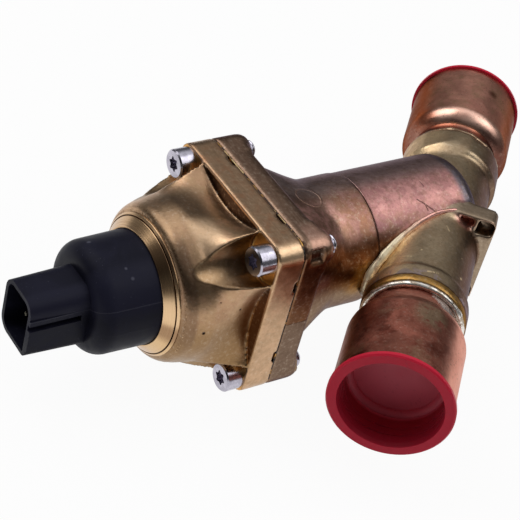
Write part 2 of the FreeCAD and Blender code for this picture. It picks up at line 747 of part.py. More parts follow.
# Piston: a crown for the seat, a slim waist and a skirt that the sleeve guides
piston = new_body("piston")
RING_LOW = "(" + PISTON_TOP + " - ring_place)"
LEAD_ROOM_END = "(lead_start - stroke - lead_end_room)"
revolve(piston, "piston_turning",
        [("0", CROWN_START), ("crown_radius", CROWN_START),
         ("crown_radius", CROWN_START + " + crown_thickness"),
         ("piston_waist_radius", CROWN_START + " + crown_thickness + waist_chamfer"),
         ("piston_waist_radius", "piston_skirt_start - skirt_chamfer"), (PISTON_RADIUS, "piston_skirt_start"),
         (PISTON_RADIUS, RING_LOW), (PISTON_RADIUS + " - ring_depth", RING_LOW),
         (PISTON_RADIUS + " - ring_depth", RING_LOW + " + ring_height"),
         (PISTON_RADIUS, RING_LOW + " + ring_height"), (PISTON_RADIUS, PISTON_TOP),
         ("nut_radius + fixed_gap", PISTON_TOP), ("nut_radius + fixed_gap", NUT_START),
         ("lead_radius + lead_room", NUT_START), ("lead_radius + lead_room", LEAD_ROOM_END),
         ("0", LEAD_ROOM_END)])
pin_hole = new_sketch(piston, "XZ_Plane", "pin_hole_plan", height="0 - " + PISTON_RADIUS + " - cut_margin")
draw_circle(pin_hole, "0", PISTON_TOP + " - pin_drop", "pin_radius + fixed_gap")
pocket(piston, "pin_hole", pin_hole, PISTON_RADIUS + " + cut_margin - pin_seat")
keep(piston, "piston", STEM)

turned("piston_ring", STEM,
       tube_corners(PISTON_RADIUS + " - ring_depth + fixed_gap", SLEEVE_BORE + " - fixed_gap",
                    RING_LOW + " + fixed_gap", RING_LOW + " + ring_height - fixed_gap"))
turned("seat_seal", STEM, tube_corners("seal_inner_radius", "seal_outer_radius", SEAL_FACE, CROWN_START))
turned("seal_retainer", STEM,
       [("0", SEAL_FACE + " - retainer_thickness"),
        ("retainer_radius - retainer_chamfer", SEAL_FACE + " - retainer_thickness"),
        ("retainer_radius", SEAL_FACE + " - retainer_thickness + retainer_chamfer"),
        ("retainer_radius", SEAL_FACE),
        ("seal_inner_radius - fixed_gap", SEAL_FACE), ("seal_inner_radius - fixed_gap", CROWN_START),
        ("0", CROWN_START)])
turned("lead_nut", STEM,
       [("lead_radius + running_gap", NUT_START), ("nut_radius", NUT_START), ("nut_radius", PISTON_TOP),
        ("nut_collar_radius", PISTON_TOP), ("nut_collar_radius", PISTON_TOP + " + nut_collar_thickness"),
        ("lead_radius + running_gap", PISTON_TOP + " + nut_collar_thickness")])

# Guide pin, a dowel that stands out of the piston into the sleeve's slot
pin = new_body("guide_pin")
pin_plan = new_sketch(pin, "XZ_Plane", "pin_plan", height="0 - " + SLEEVE_OUTER + " + loose_gap")
draw_circle(pin_plan, "0", PISTON_TOP + " - pin_drop", "pin_radius")
pad(pin, "pin_dowel", pin_plan, SLEEVE_OUTER + " - loose_gap - pin_seat")
keep(pin, "guide_pin", STEM)

# Lead screw, which is also the rotor's shaft
turned("lead_screw", STEM,
       [("0", "lead_start"), ("lead_radius - lead_chamfer", "lead_start"),
        ("lead_radius", "lead_start + lead_chamfer"),
        ("lead_radius", THRUST_FACE + " - thrust_collar_thickness"),
        ("thrust_collar_radius", THRUST_FACE + " - thrust_collar_thickness"),
        ("thrust_collar_radius", THRUST_FACE), ("journal_radius", THRUST_FACE), ("journal_radius", ROTOR_TOP),
        ("tail_radius", ROTOR_TOP), ("tail_radius", CAN_INNER_END + " - rotor_float"),
        ("0", CAN_INNER_END + " - rotor_float")])
turned("rotor_hub", STEM,
       tube_corners("journal_radius + fixed_gap", "hub_radius", WEB_END + " + rotor_float", ROTOR_TOP))
turned("rotor_magnet", STEM, tube_corners("hub_radius + fixed_gap", "magnet_radius", MAGNET_START, ROTOR_TOP))
turned("front_bearing", STEM,
       tube_corners("journal_radius + running_gap", NECK_BORE + " - fixed_gap", FRONT_BEARING_START, WEB_END))
turned("rear_bearing", STEM,
       tube_corners("tail_radius + running_gap", CAN_BORE + " - fixed_gap",
                    CAN_INNER_END + " - rear_bearing_length", CAN_INNER_END))

# Rotor can: a thin closed tube on a flanged neck, which a ring nut draws against the web
SEAL_LOW = "(" + WEB_START + " + seal_place - ring_seal_width / 2)"
SEAL_HIGH = "(" + SEAL_LOW + " + ring_seal_width)"
SEAL_OUTER = "(can_neck_radius + running_gap - fixed_gap)"
NECK_GROOVE = "(" + SEAL_OUTER + " - ring_seal_width - fixed_gap)"
turned("rotor_can", STEM,
       [(NECK_BORE, CAN_NUT_START + " - can_neck_end"),
        ("can_neck_radius", CAN_NUT_START + " - can_neck_end"),
        ("can_neck_radius", SEAL_LOW + " - fixed_gap"), (NECK_GROOVE, SEAL_LOW + " - fixed_gap"),
        (NECK_GROOVE, SEAL_HIGH + " + fixed_gap"), ("can_neck_radius", SEAL_HIGH + " + fixed_gap"),
        ("can_neck_radius", WEB_END), ("can_flange_radius", WEB_END),
        ("can_flange_radius", WEB_END + " + can_flange_thickness"),
        ("can_radius", WEB_END + " + can_flange_thickness"), ("can_radius", CAN_TOP), ("0", CAN_TOP),
        ("0", CAN_INNER_END), (CAN_BORE, CAN_INNER_END), (CAN_BORE, WEB_END), (NECK_BORE, WEB_END)])
turned("can_nut", STEM,
       tube_corners("can_neck_radius + fixed_gap", "can_nut_radius", CAN_NUT_START, WEB_START))
turned("can_seal", STEM, tube_corners(SEAL_OUTER + " - ring_seal_width", SEAL_OUTER, SEAL_LOW, SEAL_HIGH))

# Sealing ring between the bonnet and the motor cover, in a groove of the cover
COVER_SEAL_LOW = "(" + COVER_SEAT + " + cover_seal_place - ring_seal_width / 2)"
COVER_SEAL_HIGH = "(" + COVER_SEAL_LOW + " + ring_seal_width)"
COVER_SEAL_OUTER = "(cover_radius + loose_gap / 2 - fixed_gap)"
turned("cover_seal", STEM,
       tube_corners(COVER_SEAL_OUTER + " - ring_seal_width", COVER_SEAL_OUTER,
                    COVER_SEAL_LOW, COVER_SEAL_HIGH))

# Stator: a yoke of three plates in a shell, and two ring coils between the plates
YOKE_BORE = "(can_radius + loose_gap / 2)"
YOKE_INNER = "(stator_radius - yoke_wall)"
YOKE_MIDDLE = "((" + STATOR_START + " + " + STATOR_END + ") / 2)"
turned("stator_yoke", STEM,
       [(YOKE_BORE, STATOR_START), ("stator_radius", STATOR_START), ("stator_radius", STATOR_END),
        (YOKE_BORE, STATOR_END), (YOKE_BORE, STATOR_END + " - yoke_wall"),
        (YOKE_INNER, STATOR_END + " - yoke_wall"), (YOKE_INNER, YOKE_MIDDLE + " + yoke_wall / 2"),
        (YOKE_BORE, YOKE_MIDDLE + " + yoke_wall / 2"), (YOKE_BORE, YOKE_MIDDLE + " - yoke_wall / 2"),
        (YOKE_INNER, YOKE_MIDDLE + " - yoke_wall / 2"), (YOKE_INNER, STATOR_START + " + yoke_wall"),
        (YOKE_BORE, STATOR_START + " + yoke_wall")])
coils = new_body("stator_coils")
coils.AllowCompound = True
for name, low, high in (("lower_coil", STATOR_START + " + yoke_wall", YOKE_MIDDLE + " - yoke_wall / 2"),
                        ("upper_coil", YOKE_MIDDLE + " + yoke_wall / 2", STATOR_END + " - yoke_wall")):
    revolve(coils, name, tube_corners(YOKE_BORE + " + coil_gap", YOKE_INNER + " - coil_gap",
                                      low + " + coil_gap", high + " - coil_gap"))
keep(coils, "stator_coils", STEM)

# Motor cover: moulded in one piece with the connector's shroud
cover = new_body("motor_cover")
COVER_GROOVE = "(" + COVER_SEAL_OUTER + " - ring_seal_width - fixed_gap)"
revolve(cover, "cover_shell",
        [("0", COVER_SEAT), ("cover_radius", COVER_SEAT), ("cover_radius", COVER_SEAL_LOW + " - fixed_gap"),
         (COVER_GROOVE, COVER_SEAL_LOW + " - fixed_gap"), (COVER_GROOVE, COVER_SEAL_HIGH + " + fixed_gap"),
         ("cover_radius", COVER_SEAL_HIGH + " + fixed_gap"), ("cover_radius", BONNET_TOP),
         ("cover_tip_radius", COVER_TOP + " - cover_round"), ("cover_tip_radius - cover_round", COVER_TOP),
         ("0", COVER_TOP)], {7: ("cover_round", -1)})


def shroud_outline(sketch, grow):
    """The connector's outline: wide curves at its back, tighter ones beside the latch."""
    left = "(0 - shroud_left - %s)" % grow
    right = "(shroud_right + %s)" % grow
    top = "(shroud_half_height + %s)" % grow
    bottom = "(0 - shroud_half_height - %s)" % grow
    back = "(shroud_round + %s)" % grow
    front = "(shroud_latch_round + %s)" % grow
    draw(sketch, [(right, bottom + " + " + front), (right, top + " - " + back), (right + " - " + back, top),
                  (left + " + " + back, top), (left, top + " - " + back), (left, bottom + " + " + back),
                  (left + " + " + back, bottom), (right + " - " + front, bottom)],
         {1: (back, -1), 3: (back, -1), 5: (back, -1), 7: (front, -1)})


root = new_sketch(cover, "XY_Plane", "shroud_root", height=COVER_TOP + " - weld_depth")
shroud_outline(root, "shroud_spread")
tip = new_sketch(cover, "XY_Plane", "shroud_tip", height=SHROUD_END)
shroud_outline(tip, "0")
loft(cover, "shroud", [root, tip])
LATCH_START = SHROUD_END + " - latch_length"
for name, low, high, rise in (("latch_panel", "0 - latch_low", "latch_high", "latch_rise"),
                              ("latch_rail", "rail_low", "rail_low + rail_width", "rail_rise")):
    plan = new_sketch(cover, "XY_Plane", name + "_plan", height=LATCH_START)
    draw(plan, [("shroud_right - latch_root", low), ("shroud_right + " + rise, low),
                ("shroud_right + " + rise, high), ("shroud_right - latch_root", high)])
    pad(cover, name, plan, "latch_length")
slit = new_sketch(cover, "XY_Plane", "latch_slit_plan", height=LATCH_START)
SLIT_OPENING = "shroud_right + latch_rise + cut_margin"
draw(slit, [("shroud_right - slot_depth", "latch_high"), (SLIT_OPENING, "latch_high"),
            (SLIT_OPENING, "rail_low"), ("shroud_right - slot_depth", "rail_low")])
pocket(cover, "latch_slit", slit, "latch_length + cut_margin")
cavity = new_sketch(cover, "XY_Plane", "connector_cavity_plan", height=SHROUD_FLOOR)
shroud_outline(cavity, "(0 - shroud_wall)")
pocket(cover, "connector_cavity", cavity, "shroud_depth + cut_margin")
ROOM_RADIUS = "(stator_radius + stator_side_gap)"
revolve(cover, "stator_room",
        [("0", COVER_SEAT + " - cut_margin"), (ROOM_RADIUS, COVER_SEAT + " - cut_margin"),
         (ROOM_RADIUS, CAN_TOP + " + loose_gap"), ("0", CAN_TOP + " + loose_gap")], cut=True)
CONTACTS = [(across, along)
            for across in ("contact_centre + contact_across", "contact_centre - contact_across")
            for along in ("contact_up", "0 - contact_up")]
contact_holes = new_sketch(cover, "XY_Plane", "contact_hole_plan", height=CAN_TOP)
for across, along in CONTACTS:
    draw_circle(contact_holes, across, along, "contact_radius + fixed_gap")
pocket(cover, "contact_holes", contact_holes, SHROUD_FLOOR + " - " + CAN_TOP + " + cut_margin")
keep(cover, "motor_cover", STEM)

# Contact pins of the connector
contacts = new_body("contact_pins")
contacts.AllowCompound = True
contact_plan = new_sketch(contacts, "XY_Plane", "contact_plan", height=CAN_TOP + " + loose_gap")
for across, along in CONTACTS:
    draw_circle(contact_plan, across, along, "contact_radius")
pad(contacts, "pins", contact_plan, SHROUD_FLOOR + " + contact_length - " + CAN_TOP + " - loose_gap")
keep(contacts, "contact_pins", STEM)


# Copper stubs, braze rings and shipping plugs, the same at both ports
SHOULDER_RUN = "sqrt(stub_shoulder_round ^ 2 - (stub_shoulder_round - stub_radius + stub_neck_radius) ^ 2)"
PLUG_FACE = "(stub_length + plug_rim_thickness)"
PLUG_FLOOR = "(stub_length + plug_rim_thickness - plug_depth)"
PLUG_INNER = "(" + PLUG_RADIUS + " - plug_wall)"
STEP_HIGH = "(" + PLUG_FACE + " - plug_step_place)"
STEP_LOW = "(" + STEP_HIGH + " - plug_step_length)"
for side, place in (("inlet", INLET), ("outlet", OUTLET)):
    port = place.multiply(Placement(Vector(0, 0, value(side + "_collar_face")), Rotation()))
    turned(side + "_stub", port,
           [("stub_neck_radius - stub_neck_wall", "0 - stub_insert"), ("stub_neck_radius", "0 - stub_insert"),
            ("stub_neck_radius", "stub_neck_show"), ("stub_radius", "stub_neck_show + " + SHOULDER_RUN),
            ("stub_radius", "stub_length"),
            ("socket_radius + socket_opening + socket_lead_in", "stub_length"),
            ("socket_radius + socket_opening", "stub_length - socket_lead_in"),
            ("socket_radius", STOP_PLACE + " + socket_straight"), ("socket_radius", STOP_PLACE),
            ("socket_radius - socket_stop_width", STOP_PLACE),
            ("stub_neck_radius - stub_neck_wall", "stub_neck_show")],
           {2: ("stub_shoulder_round", -1)})
    turned(side + "_braze_ring", port,
           [("stub_neck_radius + fixed_gap", "0"), ("stub_neck_radius + braze_size", "0"),
            ("stub_neck_radius + fixed_gap", "braze_size")], {1: ("braze_size", 1)})
    turned(side + "_plug", port,
           [("0", PLUG_FLOOR + " - plug_base"),
            (PLUG_RADIUS + " - plug_draft - plug_toe", PLUG_FLOOR + " - plug_base"),
            (PLUG_RADIUS + " - plug_draft", PLUG_FLOOR + " - plug_base + plug_toe"),
            (PLUG_RADIUS, "stub_length"),
            ("plug_rim_radius", "stub_length"), ("plug_rim_radius", PLUG_FACE + " - plug_rim_round"),
            ("plug_rim_radius - plug_rim_round", PLUG_FACE), ("plug_mouth_radius", PLUG_FACE),
            (PLUG_INNER + " + plug_step", "stub_length"), (PLUG_INNER + " + plug_step", STEP_HIGH),
            (PLUG_INNER, STEP_HIGH), (PLUG_INNER, STEP_LOW), (PLUG_INNER + " - plug_step", STEP_LOW),
            (PLUG_INNER + " - plug_step", PLUG_FLOOR + " + plug_inner_round"),
            (PLUG_INNER + " - plug_step - plug_inner_round", PLUG_FLOOR), ("0", PLUG_FLOOR)],
           {13: ("plug_inner_round", -1)})

doc.recompute()
for item in doc.Objects:
    if "Invalid" in item.State or "Error" in item.State:
        raise RuntimeError("%s did not build: %s" % (item.Label, item.State))
os.makedirs("parts", exist_ok=True)
for label, piece in nodes.items():
    if piece.Shape.isNull() or not piece.Shape.isValid():
        raise RuntimeError("%s has no valid shape" % label)
    piece.Shape.exportStep("parts/%s.step" % label)
    print("%-18s solids %d volume %.1f" % (label, len(piece.Shape.Solids), piece.Shape.Volume))
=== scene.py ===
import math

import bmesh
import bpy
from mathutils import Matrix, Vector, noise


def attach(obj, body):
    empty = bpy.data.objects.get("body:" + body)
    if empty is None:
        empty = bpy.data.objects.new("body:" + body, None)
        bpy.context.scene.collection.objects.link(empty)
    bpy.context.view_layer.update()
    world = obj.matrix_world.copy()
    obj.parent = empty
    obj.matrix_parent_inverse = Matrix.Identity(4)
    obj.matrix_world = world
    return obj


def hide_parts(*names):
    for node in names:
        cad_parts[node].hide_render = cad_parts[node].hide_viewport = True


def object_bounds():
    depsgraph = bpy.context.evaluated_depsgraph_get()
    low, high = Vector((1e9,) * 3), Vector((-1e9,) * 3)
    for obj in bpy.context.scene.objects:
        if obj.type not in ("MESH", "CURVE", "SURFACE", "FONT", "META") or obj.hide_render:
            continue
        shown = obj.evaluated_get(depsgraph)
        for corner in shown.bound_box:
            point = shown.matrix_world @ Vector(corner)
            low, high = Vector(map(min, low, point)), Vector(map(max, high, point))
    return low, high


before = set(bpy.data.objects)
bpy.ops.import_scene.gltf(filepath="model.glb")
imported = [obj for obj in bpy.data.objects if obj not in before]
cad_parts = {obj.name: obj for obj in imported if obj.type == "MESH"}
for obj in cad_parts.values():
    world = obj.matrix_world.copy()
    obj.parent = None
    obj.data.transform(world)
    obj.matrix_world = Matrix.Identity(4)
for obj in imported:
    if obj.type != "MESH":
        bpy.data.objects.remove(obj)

# %% [markdown]
# The valve is a bronze and copper thing with a black motor on it. The frame brings in every solid
# of the valve at its real size, in metres, so this script adds the camera, the light, the finishes
# and the small forms that show only from near by. The valve could be remodelled from nothing, but
# then each face would have to be fitted again, so the solids stay wherever their shape is right.

solids_low, solids_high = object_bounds()
MM = 0.001
STEM_ANGLE = math.radians(45)
PORTS_CROSS = 80.2
CROSSING = Vector((0, PORTS_CROSS, 0)) * MM
STEM = Vector((-math.sin(STEM_ANGLE), -math.cos(STEM_ANGLE), 0))
UP = Vector((0, 0, 1))
STEM_SIDE = UP.cross(STEM)
ACROSS = Vector((1, 0, 0))
PORT = Vector((0, 1, 0))


def at(across, port, height):
    """A point of the valve's frame, given in millimetres."""
    return Vector((across, port, height)) * MM


print("box of the solids", solids_low, solids_high)

# %% [markdown]
# The photograph is taken from in front of the near port, about forty degrees above the plane of
# the pipes, with the camera rolled a little. A camera could be aimed with a constraint, but its
# roll would be lost, so its three axes are written down and become the columns of its matrix.

# %% Camera at the photograph's place
CAMERA_PLACE = at(-31.26, -431.80, 365.89)
CAMERA_RIGHT = Vector((0.95070, 0.22266, 0.21586))
CAMERA_UP = Vector((-0.30752, 0.58677, 0.74909))
CAMERA_BACK = CAMERA_RIGHT.cross(CAMERA_UP)
LENS_MM = 119.65
SENSOR_MM = 36.0

camera_data = bpy.data.cameras.new("photo_camera")
camera_data.lens = LENS_MM
camera_data.sensor_width = SENSOR_MM
camera_data.clip_start = 0.01
camera = bpy.data.objects.new("photo_camera", camera_data)
bpy.context.scene.collection.objects.link(camera)
camera.matrix_world = Matrix.Translation(CAMERA_PLACE) @ Matrix(
    (CAMERA_RIGHT, CAMERA_UP, CAMERA_BACK)).transposed().to_4x4()
bpy.context.scene.camera = camera
bpy.context.scene.view_settings.view_transform = "Standard"
print("camera at", camera.location)

# %% [markdown]
# A finish is a small tree of nodes. Each one needs the same few steps, such as placing a node,
# giving it its numbers and linking it. The trees could be drawn by hand in the editor and saved in
# a file, but here the script has to build them by itself, so short calls do these steps. A number
# that nodes work out at each point of a surface is called a measure here. Measures are added and
# multiplied like plain numbers, and each sign places one node. Colours are written the way they
# look on a screen, in steps of 255, and a shader wants them linear.

# %% Linear colours, and measures that nodes work out


def tint(red, green, blue):
    """The linear colour of one that is written as it looks, in steps of 255."""
    shares = [step / 255 for step in (red, green, blue)]
    return tuple(share / 12.92 if share <= 0.04045 else ((share + 0.055) / 1.055) ** 2.4
                 for share in shares)


class Measure:
    """A number that nodes work out at each point of a surface."""

    def __init__(self, nodes, socket):
        self.nodes = nodes
        self.socket = socket

    def __add__(self, other):
        return self.nodes.sums("ADD", self, other)

    def __sub__(self, other):
        return self.nodes.sums("SUBTRACT", self, other)

    def __mul__(self, other):
        return self.nodes.sums("MULTIPLY", self, other)

    def __truediv__(self, other):
        return self.nodes.sums("DIVIDE", self, other)

    def __abs__(self):
        return self.nodes.sums("ABSOLUTE", self)

    def step(self, low, high, start=0.0, end=1.0):
        """A smooth step from one number to another, while the measure goes from low to high."""
        node = self.nodes.add("ShaderNodeMapRange", interpolation_type="SMOOTHSTEP")
        self.nodes.fill(node, Value=self, From_Min=low, From_Max=high, To_Min=start, To_Max=end)
        return Measure(self.nodes, node.outputs["Result"])

    def band(self, middle, half, soft):
        """One within a band about a number, and nought outside it."""
        return abs(self - middle).step(half + soft, half)


print("a mid grey is", tint(128, 128, 128), "when it is linear")

# %% Short calls that build a tree of nodes


class Nodes:
    """A node tree that is built by short calls."""

    def __init__(self, tree):
        self.tree = tree

    def add(self, kind, **settings):
        node = self.tree.nodes.new(kind)
        for name, setting in settings.items():
            setattr(node, name, setting)
        return node

    def put(self, socket, source):
        """Link a source to a socket, or set the socket to a plain number or colour."""
        if isinstance(source, Measure):
            source = source.socket
        if isinstance(source, bpy.types.NodeSocket):
            self.tree.links.new(source, socket)
        elif source is not None:
            socket.default_value = (*source, 1.0) if socket.type == "RGBA" else source

    def fill(self, node, **sources):
        """Feed several sockets of a node, named with low lines for spaces."""
        for name, source in sources.items():
            self.put(node.inputs[name.replace("_", " ")], source)

    def sums(self, operation, *sources, clamp=False):
        """A measure worked out of others."""
        node = self.add("ShaderNodeMath", operation=operation, use_clamp=clamp)
        for socket, source in zip(node.inputs, sources):
            self.put(socket, source)
        return Measure(self, node.outputs[0])

    def vector(self, operation, first, second, output="Value"):
        node = self.add("ShaderNodeVectorMath", operation=operation)
        self.put(node.inputs[0], first)
        self.put(node.inputs["Scale"] if operation == "SCALE" else node.inputs[1], second)
        return Measure(self, node.outputs[output])

    def distance(self, first, second):
        """How far two crossing measures together reach from an axis."""
        return self.sums("SQRT", first * first + second * second)

    def most(self, *masks):
        """The greatest of several masks."""
        result = masks[0]
        for mask in masks[1:]:
            result = self.sums("MAXIMUM", result, mask)
        return result

    def mix(self, share, first, second):
        """The first colour, or the second where the share is one."""
        node = self.add("ShaderNodeMix", data_type="RGBA")
        for socket, source in zip((node.inputs["Factor"], *node.inputs[6:8]), (share, first, second)):
            self.put(socket, source)
        return node.outputs[2]

    def layers(self, colour, *rows):
        """Paint rows of (mask, share, colour) over a colour, one after the other."""
        for mask, share, over in rows:
            colour = self.mix(mask if share == 1 else mask * share, colour, over)
        return colour


print("short calls:", *(call for call in vars(Nodes) if call[0] != "_"))

# %% [markdown]
# On the real valve a tint or a scratch lies at a certain place, such as eight millimetres from the
# joint. A picture wrapped round the pieces could hold those places, but it would need an unwrapped
# mesh and a fixed number of points. So a skin measures each point's place in millimetres, along
# the stem or along the ports, and makes its masks from those measures.

# %% A skin that knows where its points lie


class Skin(Nodes):
    """A material whose masks are places in millimetres."""

    def __init__(self, name):
        self.material = bpy.data.materials.new(name)
        self.material.use_nodes = True
        super().__init__(self.material.node_tree)
        self.shader = self.tree.nodes["Principled BSDF"]
        self.place = self.add("ShaderNodeTexCoord").outputs["Object"]

    def along(self, direction, start):
        """Millimetres along a direction, counted from a point."""
        moved = self.vector("SUBTRACT", self.place, tuple(start), "Vector")
        return self.vector("DOT_PRODUCT", moved, tuple(direction / MM))

    def measure_stem(self):
        """Note millimetres along the stem, to its side and above it, and from its axis."""
        self.stem, self.side, self.height = (self.along(axis, CROSSING) for axis in (STEM, STEM_SIDE, UP))
        self.reach = self.distance(self.side, self.height)

    def measure_ports(self):
        """Note millimetres across the port line, along it and above it, and from that line."""
        self.across, self.port, self.height = (self.along(axis, Vector()) for axis in (ACROSS, PORT, UP))
        self.port_reach = self.distance(self.across, self.height)

    def facing(self, degrees, low, high):
        """One on the side of the stem that lies in a direction, counted from the side upwards."""
        turn = math.radians(degrees)
        ahead = self.side * math.cos(turn) + self.height * math.sin(turn)
        return (ahead / self.reach).step(low, high)

    def spot(self, point, radius, soft):
        """A round spot about a point, with its sizes in millimetres."""
        away = self.vector("DISTANCE", self.place, tuple(point)) / MM
        return away.step(radius + soft, radius)

    def stroke(self, start, end, radius, soft):
        """A short stroke between two points, with its sizes in millimetres."""
        run = end - start
        moved = self.vector("SUBTRACT", self.place, tuple(start), "Vector")
        share = self.sums("ADD", self.vector("DOT_PRODUCT", moved, tuple(run / run.length_squared)), 0.0,
                          clamp=True)
        nearest = self.vector("SCALE", tuple(run), share, "Vector")
        away = self.vector("DISTANCE", moved, nearest) / MM
        return away.step(radius + soft, radius)


print("the stem leans towards", STEM, "and its side is", STEM_SIDE)

# %% [markdown]
# Nothing cast, drawn or moulded is of one even colour. Photographs of rust or brass could be tiled
# over a surface, but their pattern would repeat and blur from near by. Noise never repeats and has
# any size, so a finish takes its blotches, its specks and the grain of its bumps from noise.

# %% A finish with noise, bumps and the shader's own sockets


class Finish(Skin):
    """A skin with all that a finished surface needs."""

    def noise(self, size_mm, detail=3.0, roughness=0.5, warp=0.0, place=None):
        """Noise whose blotches are about size_mm wide."""
        node = self.add("ShaderNodeTexNoise")
        self.fill(node, Vector=place or self.place, Scale=1.0 / (size_mm * MM), Detail=detail,
                  Roughness=roughness, Distortion=warp)
        return Measure(self, node.outputs["Fac"])

    def stretched(self, *measures):
        """A place for noise, made of three measures in millimetres, each over the length it runs."""
        joined = self.add("ShaderNodeCombineXYZ")
        for socket, (measure, length) in zip(joined.inputs, measures):
            self.put(socket, measure * (MM / length))
        return joined.outputs[0]

    def speckled(self, colour, size_mm, share):
        """The colour with darker and lighter specks of a size."""
        grain = self.noise(size_mm, 3.0, 0.7)
        return self.layers(colour, (grain.step(0.50, 0.30), share, (0.02, 0.014, 0.01)),
                           (grain.step(0.52, 0.72), share, (0.95, 0.82, 0.66)))

    def edges(self, low, high):
        """One where the surface bends outwards, or inwards if low is the greater."""
        bend = Measure(self, self.add("ShaderNodeNewGeometry").outputs["Pointiness"])
        return bend.step(low, high)

    def bump(self, height, strength, depth_mm, normal=None):
        node = self.add("ShaderNodeBump")
        self.fill(node, Height=height, Strength=strength, Distance=depth_mm * MM, Normal=normal)
        return node.outputs["Normal"]

    def shade(self, **sources):
        """Feed the shader's own sockets, named in words with low lines for spaces."""
        for name, source in sources.items():
            self.put(self.shader.inputs[name.replace("_", " ").title().replace("Ior", "IOR")], source)
        return self.material


print("a finish adds:", *(call for call in vars(Finish) if call[0] != "_"))

# %% Helpers that put a finish on a piece


def dress(material, *nodes):
    """Give CAD nodes a finish by way of their own material slots."""
    for name in nodes:
        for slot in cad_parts[name].material_slots:
            slot.material = material
    print(material.name, "is on", *nodes)


def finished(piece, material, body):
    """Give a new piece its finish and the body that it rides on."""
    piece.data.materials.clear()
    piece.data.materials.append(material)
    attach(piece, body)
    print(material.name, "is on", piece.name)


print("the frame holds", len(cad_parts), "nodes that wait for a finish")

# %% [markdown]
# The casting and the bonnet come out of sand or a die, so none of their edges is sharp and their
# faces flow into each other. A Bevel modifier could round the edges, but it stumbles where two
# round branches cross. A copy of each solid is merged, given a new surface of small squares, and
# eased, which works everywhere. Where forms meet, the points near the meeting are eased further.

# %% Helpers that make a copy as a foundry would


def object_of(name, shape):
    """An object in the scene, made of a bmesh that is done with."""
    data = bpy.data.meshes.new(name)
    shape.to_mesh(data)
    shape.free()
    piece = bpy.data.objects.new(name, data)
    bpy.context.scene.collection.objects.link(piece)
    return piece


def foundry_copy(node, name, square_mm, rounds):
    """A copy of a solid with a new surface of small squares, eased so many times."""
    shape = bmesh.new()
    shape.from_mesh(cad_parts[node].data)
    bmesh.ops.remove_doubles(shape, verts=shape.verts, dist=0.002 * MM)
    piece = object_of(name, shape)
    surface = piece.modifiers.new("new_surface", "REMESH")
    surface.mode = "VOXEL"
    surface.voxel_size = square_mm * MM
    surface.use_smooth_shade = True
    eased = piece.modifiers.new("eased_edges", "SMOOTH")
    eased.factor = 0.5
    eased.iterations = rounds
    drawn = piece.evaluated_get(bpy.context.evaluated_depsgraph_get())
    piece.data = bpy.data.meshes.new_from_object(drawn)
    piece.modifiers.clear()
    return piece


def stem_place(point):
    """How far a point lies along the stem's axis, to its side and above it, in millimetres."""
    moved = (point - CROSSING) / MM
    return moved.dot(STEM), moved.dot(STEM_SIDE), moved.z


def ease(piece, wanted, rounds):
    """Smooth the points of a piece for which wanted(along, side, height, point) is true."""
    shape = bmesh.new()
    shape.from_mesh(piece.data)
    chosen = [corner for corner in shape.verts if wanted(*stem_place(corner.co), corner.co / MM)]
    for _ in range(rounds):
        bmesh.ops.smooth_vert(shape, verts=chosen, factor=0.5,
                              use_axis_x=True, use_axis_y=True, use_axis_z=True)
    shape.to_mesh(piece.data)
    shape.free()
    print(piece.name, "eased", len(chosen), "points of", len(piece.data.vertices),
          "and has", 2 * len(piece.data.polygons), "triangles at most")


print("valve_body has", len(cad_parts["valve_body"].data.vertices), "points before it is merged")

# %% [markdown]
# On the real casting the branches run into the stem with a small fillet, the neck swells softly to
# the flange, and only the four screw bosses stay crisp. Each fillet could be cut by hand on the
# mesh. Here three short rules say which points lie near a junction, on the neck or on the flange's
# back edge, and those points are eased.

# %% Casting with its junctions eased
STEM_REACH = 22.6
BRANCH_REACH = 16.6
SCREW_PLACE = 25.6
STEM_BAND_START = 44.5
FLANGE_BACK = 77.4
FLANGE_REACH = 31.6
FILLET_WIDTH = 2.4
BOSS_REACH = 8.5

casting = foundry_copy("valve_body", "valve_casting", 0.8, 2)


def near_junction(along, side, height, point):
    """Close to both the stem's surface and a branch's."""
    reach = math.hypot(side, height)
    port_reach = math.hypot(point.x, point.z)
    return abs(reach - STEM_REACH) < FILLET_WIDTH and abs(port_reach - BRANCH_REACH) < FILLET_WIDTH


def on_neck(along, side, height, point):
    """The outer surface where the stem spreads to the flange."""
    return STEM_BAND_START + 4 < along < FLANGE_BACK - 0.4 and math.hypot(side, height) > STEM_REACH - 1


def on_flange_back(along, side, height, point):
    """The back edge of the flange, away from the four screw bosses."""
    from_screw = math.hypot(abs(side) - SCREW_PLACE, abs(height) - SCREW_PLACE)
    return (FLANGE_BACK - 3 < along < FLANGE_BACK + 4.5 and math.hypot(side, height) > 24
            and from_screw > BOSS_REACH)


ease(casting, near_junction, 24)
ease(casting, on_neck, 10)
ease(casting, on_flange_back, 26)

# %% [markdown]
# Beside each corner boss, the side of the body's flange has a small moulded pocket. A boolean cut
# would do it, but the casting is one closed skin of small squares, so it is enough to press the
# squares inwards a little there, with a soft edge as a mould leaves it.

# %% Pockets beside the corner bosses
POCKET_ALONG = 81.9
POCKET_HEIGHT = 26.9
POCKET_DEPTH = 1.6


def slope(away, flat, soft):
    """One up to a distance, and falling smoothly to nought beyond it."""
    share = min(max((flat + soft - away) / soft, 0.0), 1.0)
    return share * share * (3 - 2 * share)


shape = bmesh.new()
shape.from_mesh(casting.data)
pressed = 0
for corner in shape.verts:
    along, side, height = stem_place(corner.co)
    depth = (POCKET_DEPTH * slope(abs(along - POCKET_ALONG), 1.9, 1.0)
             * slope(abs(height - POCKET_HEIGHT), 2.0, 1.0))
    if depth > 0 and abs(side) > FLANGE_REACH - 1.2:
        corner.co -= STEM_SIDE * math.copysign(depth, side) * MM
        pressed += 1
shape.to_mesh(casting.data)
shape.free()
print("pressed", pressed, "points into the pockets")

